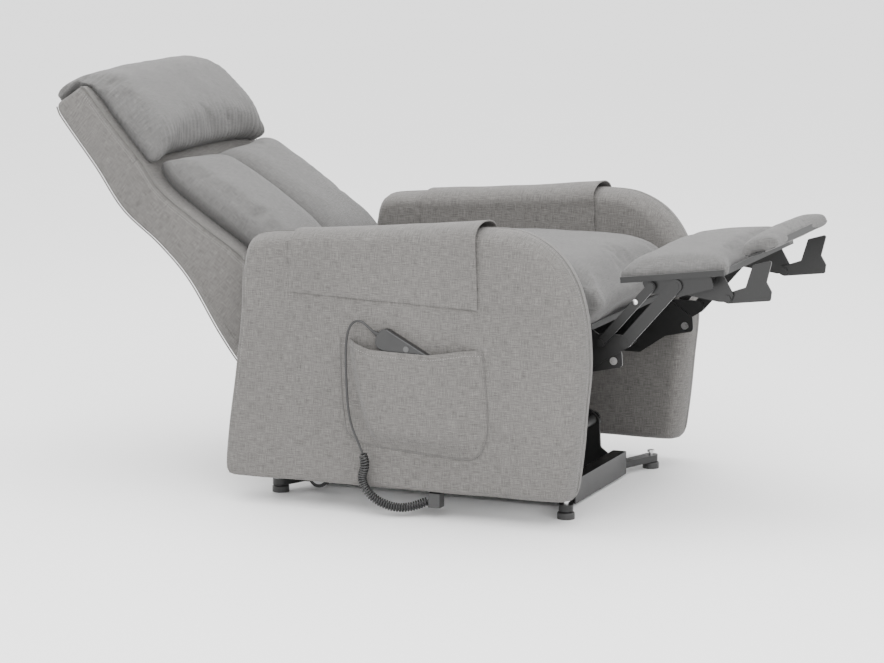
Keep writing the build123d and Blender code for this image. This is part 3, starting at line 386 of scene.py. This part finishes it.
def finish_cloth(piece, body, replaced=(), material=None, lean=0.0, angle=50.0):
    """Weave map, material, smooth shading, slot and the body it rides on."""
    alone(piece)
    bpy.ops.object.shade_smooth_by_angle(angle=math.radians(angle))
    map_weave(piece, lean)
    piece.data.materials.clear()
    piece.data.materials.append(material or CLOTH)
    if replaced:
        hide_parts(*replaced)
    if body:
        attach(piece, body)
    return piece


def ripple(piece, size, height):
    """Gentle unevenness of hand-stretched cloth."""
    spots = points_of(piece)
    lift = numpy.array([noise.noise(Vector(spot) / size) for spot in spots]) * height
    move_to(piece, spots + normals_of(piece) * lift[:, None])


SWELL_FRAMES = 20


def inflate(piece, voxel, cap, held, limit, pressure=4.0):
    """Swells a closed block as a stuffed cover: remesh, cloth pressure, and no point past the cap.
    held is a direction that the swelling never takes, limit the widest half width."""
    apply(piece, "REMESH", mode="VOXEL", voxel_size=voxel)
    start = points_of(piece)
    cloth = piece.modifiers.new("swell", "CLOTH")
    cloth.settings.use_pressure = True
    cloth.settings.uniform_pressure_force = pressure
    cloth.settings.effector_weights.gravity = 0
    cloth.settings.quality = 4
    cloth.point_cache.frame_start, cloth.point_cache.frame_end = 1, SWELL_FRAMES
    for step in range(1, SWELL_FRAMES + 1):
        bpy.context.scene.frame_set(step)
    swollen = piece.evaluated_get(bpy.context.evaluated_depsgraph_get()).to_mesh()
    end = numpy.empty(len(swollen.vertices) * 3)
    swollen.vertices.foreach_get("co", end)
    piece.modifiers.remove(cloth)
    bpy.context.scene.frame_set(1)
    shift = end.reshape(-1, 3) - start
    length = numpy.linalg.norm(shift, axis=1)[:, None] + 1e-9
    shift *= cap * numpy.tanh(length / cap) / length
    held = numpy.array(held) / numpy.linalg.norm(held)
    shift -= numpy.clip(shift @ held, 0, None)[:, None] * held
    end = start + shift
    end[:, 0] = numpy.clip(end[:, 0], -limit, limit)
    move_to(piece, end)
    apply(piece, "SMOOTH", factor=0.5, iterations=2)
    apply(piece, "SUBSURF", levels=1, render_levels=1)


def tuck(spots, depth, foot, rise, amount):
    """Draws a back cushion's sides in where they meet the shell, so that a dark gap stays."""
    low = numpy.clip(1 - (depth - foot) / rise, 0, 1) ** 1.5
    spots[:, 0] *= 1 - amount * low * numpy.clip((numpy.abs(spots[:, 0]) - 0.12) / 0.12, 0, 1)


def block(name, outline, half, count=72, rim=9.0):
    """A closed block over an outline from side to side, with its two rims eased."""
    outline = smooth_line(outline, count, closed=True)
    steps = [(half, rim), (half - rim * 0.35, rim * 0.35), (half - rim, 0.0)]
    rings = [ring(-x, inward(outline, inset)) for x, inset in steps]
    rings += [ring(x, inward(outline, inset)) for x, inset in reversed(steps)]
    return loft(name, rings)


def tube(name, points, radius, material, body, sides=3):
    """Round piping through points, as a mesh."""
    curve = bpy.data.curves.new(name, "CURVE")
    curve.dimensions = "3D"
    curve.bevel_depth, curve.bevel_resolution = radius, sides
    spline = curve.splines.new("POLY")
    spline.points.add(len(points) - 1)
    for spot, place in zip(spline.points, points):
        spot.co = (*place, 1.0)
    curve.use_fill_caps = True
    piece = bpy.data.objects.new(name, curve)
    bpy.context.scene.collection.objects.link(piece)
    alone(piece)
    bpy.ops.object.convert(target="MESH")
    piece = bpy.context.object
    return finish_cloth(piece, body, material=material)


STITCH_SPACING = 5.5      # millimetres
STITCH_HALF_SIZE = (0.0017, 0.00055, 0.0005)


def stitch_row(name, points, out, body):
    """A row of short raised stitches that follows points; out is the cloth's facing at each."""
    run = numpy.array([tuple(place) for place in points])
    facing = numpy.array([tuple(direction) for direction in out])
    passed = numpy.concatenate([[0], numpy.cumsum(numpy.linalg.norm(numpy.diff(run, axis=0), axis=1))])
    count = max(2, int(passed[-1] * 1000 / STITCH_SPACING))
    bpy.ops.object.select_all(action="DESELECT")
    bpy.ops.mesh.primitive_uv_sphere_add(segments=6, ring_count=4, radius=1.0)
    bead = bpy.context.object
    shape = points_of(bead) * STITCH_HALF_SIZE
    faces = [tuple(face.vertices) for face in bead.data.polygons]
    bpy.data.objects.remove(bead)
    spots, polygons = [], []
    for stop in (numpy.arange(count) + 0.5) * passed[-1] / count:
        middle = [numpy.interp(stop, passed, run[:, axis]) for axis in range(3)]
        ahead = [numpy.interp(stop + 0.001, passed, run[:, axis]) for axis in range(3)]
        behind = [numpy.interp(stop - 0.001, passed, run[:, axis]) for axis in range(3)]
        forward = (Vector(ahead) - Vector(behind)).normalized()
        up = Vector([numpy.interp(stop, passed, facing[:, axis]) for axis in range(3)]).normalized()
        aside = up.cross(forward).normalized()
        base = len(spots)
        for x, y, z in shape:
            spots.append(Vector(middle) + forward * x + aside * y + up * z)
        polygons += [tuple(base + index for index in face) for face in faces]
    mesh = bpy.data.meshes.new(name)
    mesh.from_pydata(spots, [], polygons)
    piece = bpy.data.objects.new(name, mesh)
    bpy.context.scene.collection.objects.link(piece)
    return finish_cloth(piece, body, material=THREAD)


# ---- the handset's cord ------------------------------------------------------------
LEAD_D, WIRE_D, COIL_R, COIL_PITCH = 0.005, 0.0040, 0.0078, 0.0054
LEAD_ROUTE = [
    (-400.75, 467.6, 384.1), (-403.0, 455.0, 396.0), (-405.0, 443.0, 405.0), (-408.0, 428.5, 403.0),
    (-412.5, 418.8, 388.5), (-417.5, 415.6, 362.0), (-418.5, 415.0, 318.0), (-418.0, 416.5, 270.0),
    (-418.3, 419.5, 226.0), (-418.0, 427.0, 188.0), (-418.5, 440.0, 161.0), (-417.5, 450.0, 137.0)]
COIL_ROUTE = [
    (-417.5, 450.0, 137.0), (-416.5, 460.0, 113.0), (-409.0, 442.0, 80.0), (-403.0, 460.0, 43.0),
    (-392.0, 505.0, 20.0), (-374.0, 548.0, 22.0), (-362.0, 577.0, 38.0)]


def follow(name, route):
    """Points along the smooth line that a route's points pull into shape."""
    curve = bpy.data.curves.new(name, "CURVE")
    curve.dimensions = "3D"
    curve.resolution_u = 24
    spline = curve.splines.new("NURBS")
    spline.points.add(len(route) - 1)
    for spot, place in zip(spline.points, route):
        spot.co = (*at(*place), 1.0)
    spline.order_u = 3
    spline.use_endpoint_u = True
    holder = bpy.data.objects.new(name, curve)
    bpy.context.scene.collection.objects.link(holder)
    bpy.context.view_layer.update()
    mesh = bpy.data.meshes.new_from_object(holder)
    line = numpy.array([tuple(vertex.co) for vertex in mesh.vertices])
    bpy.data.objects.remove(holder)
    return line


def length_of(line):
    return float(numpy.linalg.norm(numpy.diff(line, axis=0), axis=1).sum())


def evenly(line, step):
    run = numpy.concatenate([[0], numpy.cumsum(numpy.linalg.norm(numpy.diff(line, axis=0), axis=1))])
    stops = numpy.linspace(0, run[-1], max(2, int(run[-1] / step)))
    return numpy.stack([numpy.interp(stops, run, line[:, axis]) for axis in range(3)], axis=1)


lead_line = follow("lead_route", LEAD_ROUTE)
lead = tube("handset_lead_cord", evenly(lead_line, 0.002), LEAD_D / 2, SHEATH, None, sides=4)
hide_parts("handset_lead")
length_of(lead_line)
at(-405, 440, 400)
at(-418, 418, 215)
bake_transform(lead)

coil_line = evenly(follow("coil_route", COIL_ROUTE), 0.0005)
coil_length = length_of(coil_line)
steps = len(coil_line)
helix = []
side = Vector((1, 0, 0))
for index, spot in enumerate(coil_line):
    ahead = Vector(coil_line[min(index + 1, steps - 1)] - coil_line[max(index - 1, 0)]).normalized()
    side = (side - ahead * side.dot(ahead)).normalized()
    travel = coil_length * index / (steps - 1)
    turn = 2 * math.pi * travel / COIL_PITCH
    spread = COIL_R * eased(min(travel / 0.008, (coil_length - travel) / 0.010))
    helix.append(Vector(spot) + (side * math.cos(turn) + ahead.cross(side) * math.sin(turn)) * spread)
helix = numpy.array([tuple(spot) for spot in helix])
coil = tube("handset_curly_cord", helix, WIRE_D / 2, SHEATH, "seat", sides=2)
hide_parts("handset_coil")
length_of(helix)

# ---- arms ---------------------------------------------------------------------------
ARM_POINTS = [
    (150, 54), (127, 58), (122, 76), (128, 150), (144, 280), (159, 398), (165, 524), (177, 553), (211, 565),
    (400, 578.5), (600, 592.5), (705, 600), (780, 592), (847, 552), (892, 478), (911, 350), (903, 234),
    (889, 96), (880, 62), (858, 54), (600, 54), (350, 54)]
arm_outline = smooth_line(ARM_POINTS, 220, closed=True)
softness = numpy.where((arm_outline[:, 0] > 700) | (arm_outline[:, 1] > 520), 1.0, 0.30)
for _ in range(14):
    softness = (numpy.roll(softness, 1) + softness + numpy.roll(softness, -1)) / 3
arm_centre = numpy.array([500.0, 330.0])
SEAM_ANGLE = math.radians(13.0)
WELT_R = 0.0014


def drawn_in(distance):
    """The arm's outline drawn in towards its middle, less where the edge is crisp."""
    reach = arm_centre - arm_outline
    return arm_outline + reach / numpy.linalg.norm(reach, axis=1)[:, None] * (distance * softness)[:, None]


for name, hand in (("right", -1), ("left", 1)):
    quarter = [math.radians(angle) for angle in (90, 78, 66, 54, 42, 30, 19, 9, 3)]
    outer = [(ARM_HALF * math.sin(angle), ARM_ROUND * (1 - math.cos(angle))) for angle in quarter]
    crown = [(ARM_HALF + 2.0, 150.0), (ARM_HALF + 1.6, 100.0), (ARM_HALF + 0.8, 58.0)]
    profile = crown + outer + [(0.0, -0.6)] + [(-out, inset) for out, inset in reversed(outer)]
    profile += [(-ARM_HALF, 58.0), (-ARM_HALF, 120.0)]
    rings = [ring(hand * (ARM_MID + out), drawn_in(inset)) for out, inset in profile]
    arm = loft("arm_" + name + "_upholstery", rings)
    ripple(arm, 0.11, 0.0012)
    finish_cloth(arm, "seat", ["arm_" + name])
    start = numpy.argmin(numpy.hypot(arm_outline[:, 0] - 127, arm_outline[:, 1] - 70))
    loop = numpy.roll(arm_outline, -start, axis=0)
    last = numpy.argmin(numpy.hypot(loop[:, 0] - 884, loop[:, 1] - 74))
    welt = loop[:last + 1]
    tube("arm_" + name + "_welt", [at(hand * (ARM_MID + 1.0), *place) for place in welt],
         WELT_R, PIPING, "seat")
    seam = numpy.roll(drawn_in(ARM_ROUND * (1 - math.cos(SEAM_ANGLE)) - 0.5), -start, axis=0)[:last + 1]
    seam_x = hand * (ARM_MID + ARM_HALF * math.sin(SEAM_ANGLE))
    outward = [at(0, *place) - at(0, *arm_centre) for place in seam]
    stitch_row("arm_" + name + "_seam_stitches", [at(seam_x, *place) for place in seam], outward, "seat")
    rear_count = numpy.argmin(numpy.hypot(welt[:, 0] - 165, welt[:, 1] - 530))
    for row, distance in enumerate((9.0, 16.0)):
        edge = welt[:rear_count] + (distance, 0)
        stitch_row("arm_%s_rear_stitches_%d" % (name, row + 1),
                   [at(hand * (ARM_MID + ARM_HALF + 0.2), *place) for place in edge],
                   [Vector((hand, 0, 0))] * len(edge), "seat")

# ---- loose covers over the arms ----------------------------------------------------------
for name, hand, rear, front in (("right", -1, 276.0, 688.0), ("left", 1, 282.0, 690.0)):
    rows = []
    for step in numpy.linspace(0, 1, 64):
        forward = rear + (front - rear) * step
        crest = 566.5 + (forward - 211) * 0.0709 + 4.0 + 8.0 * step**3
        lift = 3.0 + 2.5 * step**4
        hem = 452.0 - 12.0 * step
        row = []
        for out in numpy.linspace(hem, crest - ARM_ROUND, 16, endpoint=False):
            sway = 1.6 * math.sin(step * 7.0 + out * 0.012)
            row.append((ARM_HALF + lift + max(0.0, sway), out))
        for angle in numpy.linspace(90, -90, 33):
            turn = math.radians(angle)
            row.append(((ARM_HALF + lift) * math.copysign(abs(math.sin(turn)) ** 0.9, turn),
                        crest - ARM_ROUND * (1 - math.cos(turn) ** 0.9 if abs(angle) < 90 else 1)))
        for out in numpy.linspace(crest - ARM_ROUND, 498.0, 9)[1:]:
            row.append((-ARM_HALF - 2.2, out))
        rows.append([at(hand * (ARM_MID + out), forward + 5.0 * step * (crest - up) / 150, up)
                     for out, up in row])
    cover = grid("arm_cover_" + name + "_cloth", rows)
    ripple(cover, 0.07, 0.0016)
    apply(cover, "SOLIDIFY", thickness=0.0032, offset=0.0)
    face_outward(cover)
    apply(cover, "BEVEL", width=0.0012, segments=2, limit_method="ANGLE", angle_limit=math.radians(60))
    finish_cloth(cover, "seat", ["arm_cover_" + name])

# ---- pocket ----------------------------------------------------------------------------
rows = []
for up_step in numpy.linspace(0, 1, 60):
    row = []
    for step in numpy.linspace(0, 1, 84):
        rear_edge = 392.0 + 13.0 * (1 - up_step) ** 3
        front_edge = (703.0 + 12.0 * math.sin(math.pi * min(1.0, (1 - up_step) * 0.62))
                      - 16.0 * (1 - up_step) ** 9)
        forward = rear_edge + (front_edge - rear_edge) * step
        dip = 15.0 * eased((step - 0.06) / 0.20) * eased((0.95 - step) / 0.35)
        low = 150.0 - 19.0 * step + 22.0 * (1 - step) ** 14 + 18.0 * step ** 22
        high = 364.0 - 6.0 * step - dip
        up = low + (high - low) * up_step
        fold = 0.075 + 0.13 * (1 - up_step) ** 1.6
        bulge = eased((step - fold + 0.02) / 0.085) * eased((1.0 - step) / 0.22) * eased(up_step / 0.20 + 0.02)
        crease = 2.2 * math.exp(-((step - fold - 0.10) / 0.03) ** 2) * up_step * (1 - up_step) * 2
        row.append(at(-(391.8 + 20.2 * bulge - crease), forward, up))
    rows.append(row)
pocket = grid("pocket_cloth", rows)
ripple(pocket, 0.05, 0.0005)
apply(pocket, "SOLIDIFY", thickness=0.0018, offset=0.0)
face_outward(pocket)
finish_cloth(pocket, "seat", ["pocket"])
edge = [Vector(row[-1]) for row in reversed(rows)] + [Vector(spot) for spot in reversed(rows[0])][1:]
edge += [Vector(row[0]) for row in rows][1:]
edge = [spot + Vector((-0.0008, 0, 0)) for spot in edge]
tube("pocket_welt", edge, 0.0017, PIPING, "seat")
hem = [Vector(spot) + Vector((-0.0012, 0, -0.0105)) for spot in rows[-1]]
stitch_row("pocket_hem_stitches", hem, [Vector((-1, 0, 0))] * len(hem), "seat")

# ---- back shell --------------------------------------------------------------------------
SHELL = [(12, -132), (76, -130), (164, -110), (290, -71), (387, -61), (496, -63), (600, -37), (734, -9),
         (752, 0), (755, 10), (746, 40), (736, 72), (726, 76), (640, 61), (532, 46), (458, 30), (350, 38),
         (230, 52), (128, 42), (112, 36), (38, -62), (14, -110)]
shell_outline = smooth_line([on_back(*place) for place in SHELL], 240, closed=True)
shell_rim = [(BODY_HALF + 0.6, 9.0), (BODY_HALF - 1.5, 3.0), (BODY_HALF - 6.0, 0.6), (BODY_HALF - 14.0, 0.0)]
rings = [ring(-x, inward(shell_outline, inset)) for x, inset in shell_rim]
rings += [ring(x, shell_outline) for x in (-130.0, 0.0, 130.0)]
rings += [ring(x, inward(shell_outline, inset)) for x, inset in reversed(shell_rim)]
shell = loft("back_shell_upholstery", rings)
finish_cloth(shell, "back", ["back_shell"], lean=-BACK_TILT)
front_edge = smooth_line([on_back(*place) for place in SHELL[11:20]], 120)
rear_edge = smooth_line([on_back(*place) for place in SHELL[0:9]], 120)
for name, hand in (("right", -1), ("left", 1)):
    tube("back_" + name + "_piping", [at(hand * (BODY_HALF - 1.0), *place) for place in front_edge],
         WELT_R, PIPING, "back")
    tube("back_" + name + "_rear_piping", [at(hand * (BODY_HALF - 1.0), *place) for place in rear_edge],
         0.0016, CLOTH, "back")
    for row, distance in enumerate((9.0, 14.0)):
        shift = numpy.array(on_back(0, -distance)) - numpy.array(on_back(0, 0))
        line = front_edge + shift
        stitch_row("back_%s_edge_stitches_%d" % (name, row + 1),
                   [at(hand * (BODY_HALF + 0.7), *place) for place in line],
                   [Vector((hand, 0, 0))] * len(line), "back")

# ---- cushions -----------------------------------------------------------------------------
back_out = (at(0, *on_back(0, 1)) - at(0, *on_back(0, 0))).normalized()
back_up = (at(0, *on_back(1, 0)) - at(0, *on_back(0, 0))).normalized()
hinge = at(0, *BACK_HINGE)


def back_places(spots):
    """(along, depth) in millimetres of points on the back."""
    reach = spots - numpy.array(hinge)
    return reach @ numpy.array(back_up) * 1000, reach @ numpy.array(back_out) * 1000


LUMBAR = [(98, 26), (92, 64), (112, 94), (160, 110), (220, 116), (320, 108), (430, 92), (500, 78), (514, 56),
          (506, 34), (458, 24), (340, 34), (230, 44), (140, 36)]
lumbar = block("lumbar_cushion_upholstery", [on_back(*place) for place in LUMBAR], CUSHION_HALF, rim=5.0)
inflate(lumbar, 0.0075, 0.020, held=-back_out, limit=0.260, pressure=7.0)
spots = points_of(lumbar)
along, depth = back_places(spots)
x = spots[:, 0] * 1000
front = numpy.clip((depth - 52.0) / 30.0, 0, 1)
channel = 36.0 * numpy.exp(-numpy.abs(x) / 7.5) + 14.0 * numpy.exp(-(x / 40.0) ** 2)
side_fall = 16.0 * numpy.clip((numpy.abs(x) - 205.0) / 50.0, 0, 1) ** 2
spots -= numpy.outer(front * (channel + side_fall) / 1000, numpy.array(back_out))
shell_front = numpy.interp(along, (100, 128, 230, 350, 458, 532, 726, 790), (30, 42, 52, 38, 30, 46, 76, 84))
tuck(spots, depth, shell_front, 38.0, 0.09)
move_to(lumbar, spots)
ripple(lumbar, 0.06, 0.0016)
finish_cloth(lumbar, "back", ["lumbar_cushion"], CUSHION_CLOTH, lean=-BACK_TILT)

PILLOW = [(514, 44), (508, 78), (560, 106), (640, 116), (712, 108), (766, 66), (778, 22), (774, -2), (762, -6),
          (744, 6), (732, 40), (712, 60), (640, 50), (532, 36)]
pillow = block("head_pillow_upholstery", [on_back(*place) for place in PILLOW], BODY_HALF - 1.0, rim=5.0)
inflate(pillow, 0.0075, 0.018, held=-back_out, limit=0.277, pressure=7.0)
spots = points_of(pillow)
along, depth = back_places(spots)
x = spots[:, 0] * 1000
lower = numpy.exp(-numpy.clip(along - 512.0, 0, None) / 26.0)
flank = numpy.exp(-numpy.clip(272.0 - numpy.abs(x), 0, None) / 24.0)
pucker = lower * numpy.sin(x * 2 * math.pi / 15.0 + 2.0 * numpy.sin(x / 23.0))
pucker += flank * numpy.sin(along * 2 * math.pi / 14.0 + 2.0 * numpy.sin(along / 19.0)) * (1 - lower)
round_off = (20.0 * numpy.clip((numpy.abs(x) - 195.0) / 78.0, 0, 1) ** 2.2
             * numpy.clip((depth - 74.0) / 30.0, 0, 1))
spots += normals_of(pillow) * (pucker * 2.3 / 1000)[:, None]
spots -= numpy.outer(round_off / 1000, numpy.array(back_out))
shell_front = numpy.interp(along, (500, 532, 726, 750, 760), (40, 46, 76, 60, 0))
tuck(spots, depth, shell_front, 30.0, 0.05)
move_to(pillow, spots)
ripple(pillow, 0.05, 0.0018)
finish_cloth(pillow, "back", ["head_pillow"], CUSHION_CLOTH, lean=-BACK_TILT)

SEAT = [(350, 384), (350, 470), (376, 484), (540, 496), (757, 499), (850, 490), (900, 468), (924, 447),
        (918, 432), (884, 412), (876, 384)]
seat = block("seat_cushion_upholstery", SEAT, BODY_HALF - 8.0)
inflate(seat, 0.009, 0.024, held=(0, 0, -1), limit=0.2685)
spots = points_of(seat)
forward = MIDDLE - spots[:, 1] * 1000
x = spots[:, 0] * 1000
top = numpy.clip((spots[:, 2] * 1000 - 470.0) / 30.0, 0, 1)
edge_fall = 14.0 * numpy.clip((numpy.abs(x) - 190.0) / 80.0, 0, 1) ** 2 - 10.0 * numpy.exp(-(x / 150.0) ** 2)
spots[:, 2] -= top * edge_fall / 1000
move_to(seat, spots)
ripple(seat, 0.08, 0.0022)
finish_cloth(seat, "seat", ["seat_cushion"], CUSHION_CLOTH)

PAD = [(9, -0.6), (7, 20), (20, 28), (118, 33), (226, 28), (237, 20), (235, -0.6)]
pad = block("footrest_pad_upholstery", [on_board(*place) for place in PAD], PAD_HALF - 4.0, rim=5.0)
inflate(pad, 0.007, 0.015, held=tuple(-(at(0, *on_board(0, 1)) - at(0, *on_board(0, 0)))), limit=0.249)
spots = points_of(pad)
reach = (spots - numpy.array(at(0, *BOARD_HEEL))) * 1000
up_way = numpy.array((0, math.sin(BOARD_TILT), math.cos(BOARD_TILT)))
out = reach @ up_way
side_share = numpy.clip((numpy.abs(spots[:, 0]) - 0.19) / 0.055, 0, 1)
crown = (numpy.clip((out - 14.0) / 18.0, 0, 1)
         * (8.0 * numpy.exp(-(spots[:, 0] / 0.16) ** 2) - 6.0 * side_share ** 2))
move_to(pad, spots + numpy.outer(crown / 1000, up_way))
ripple(pad, 0.06, 0.0014)
finish_cloth(pad, "footrest", ["footrest_pad"], CUSHION_CLOTH)

flap_heel = on_board(250.0, 27.0)
FLAP = [(4, -0.6), (3, 17), (14, 24), (41, 27), (68, 24), (79, 17), (78, -0.6)]
flap_tilt = BOARD_TILT + FLAP_RISE
flap = block("flap_pad_upholstery", [on_board(*place, flap_heel, flap_tilt) for place in FLAP],
             FLAP_HALF - 4.0, rim=4.0)
flap_out = at(0, *on_board(0, 1, flap_heel, flap_tilt)) - at(0, *on_board(0, 0, flap_heel, flap_tilt))
inflate(flap, 0.006, 0.010, held=tuple(-flap_out), limit=0.189)
ripple(flap, 0.05, 0.0012)
finish_cloth(flap, "footrest_flap", ["flap_pad"], CUSHION_CLOTH)

# ---- cloth between the cushions ---------------------------------------------------------------
web_line = smooth_line([(222.0, 418.0), (250.0, 424.0), (290.0, 436.0), (330.0, 462.0), (352.0, 476.0)], 30)
web = grid("seat_to_back_web", [[at(x, *place) for x in numpy.linspace(-250, 250, 60)] for place in web_line])
apply(web, "SOLIDIFY", thickness=0.0016, offset=0.0)
finish_cloth(web, None, material=CUSHION_CLOTH)
at(0, 345, 470)
at(0, 228, 420)
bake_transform(web)

# ---- bright bolts on the short footrest links -------------------------------------------------
BOLT_RADIUS, BOLT_RISE = 0.0062, 0.0038
BOLT_PLACE = (241.0, 971.0, 452.0)
for name, hand in (("right", -1), ("left", 1)):
    bpy.ops.object.select_all(action="DESELECT")
    bpy.ops.mesh.primitive_uv_sphere_add(segments=24, ring_count=12, radius=1.0)
    bolt = bpy.context.object
    bolt.name = bolt.data.name = "link_bolt_" + name
    ball = points_of(bolt)
    head = numpy.stack([hand * numpy.clip(ball[:, 2], -0.15, 1) * BOLT_RISE,
                        ball[:, 0] * BOLT_RADIUS, ball[:, 1] * BOLT_RADIUS], axis=1)
    move_to(bolt, head + numpy.array(at(hand * BOLT_PLACE[0], *BOLT_PLACE[1:])))
    bpy.ops.object.mode_set(mode="EDIT")
    bpy.ops.mesh.select_all(action="SELECT")
    bpy.ops.mesh.remove_doubles(threshold=1e-5)
    bpy.ops.object.mode_set(mode="OBJECT")
    face_outward(bolt)
    bpy.ops.object.shade_smooth_by_angle(angle=math.radians(40))
    bolt.data.materials.clear()
    bolt.data.materials.append(BRIGHT_STEEL)
    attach(bolt, "short_footrest_links")

# ---- floor and light ------------------------------------------------------------------------------
bpy.ops.object.select_all(action="DESELECT")
bpy.ops.mesh.primitive_plane_add(size=90.0)
floor = bpy.context.object
floor.name = "studio_floor"
paper = Finish("pale_floor", Roughness=0.6)
shade = paper.noise(paper.node("ShaderNodeTexCoord", output=3), 0.5, 2.0)
paper.feed("Base Color", paper.blend(shade, grey(0.86), grey(0.90)))
floor.data.materials.append(paper.material)


def soft_box(name, place, aim, size, power):
    light = bpy.data.lights.new(name, "AREA")
    light.shape, light.size, light.size_y, light.energy = "RECTANGLE", size, size, power
    lamp = bpy.data.objects.new(name, light)
    bpy.context.scene.collection.objects.link(lamp)
    lamp.location = place
    lamp.rotation_euler = (Vector(aim) - Vector(place)).to_track_quat("-Z", "Y").to_euler()


soft_box("key", (-3.2, -1.2, 2.6), (0, 0, 0.4), 2.6, 130.0)
soft_box("top", (0.3, 0.6, 3.6), (0, 0, 0.3), 3.2, 115.0)
soft_box("fill", (-1.8, -4.0, 1.6), (0, -0.2, 0.4), 2.2, 28.0)
world = bpy.data.worlds.new("studio")
world.use_nodes = True
world.node_tree.nodes["Background"].inputs["Color"].default_value = (1.0, 1.0, 1.0, 1.0)
world.node_tree.nodes["Background"].inputs["Strength"].default_value = 2.2
bpy.context.scene.world = world
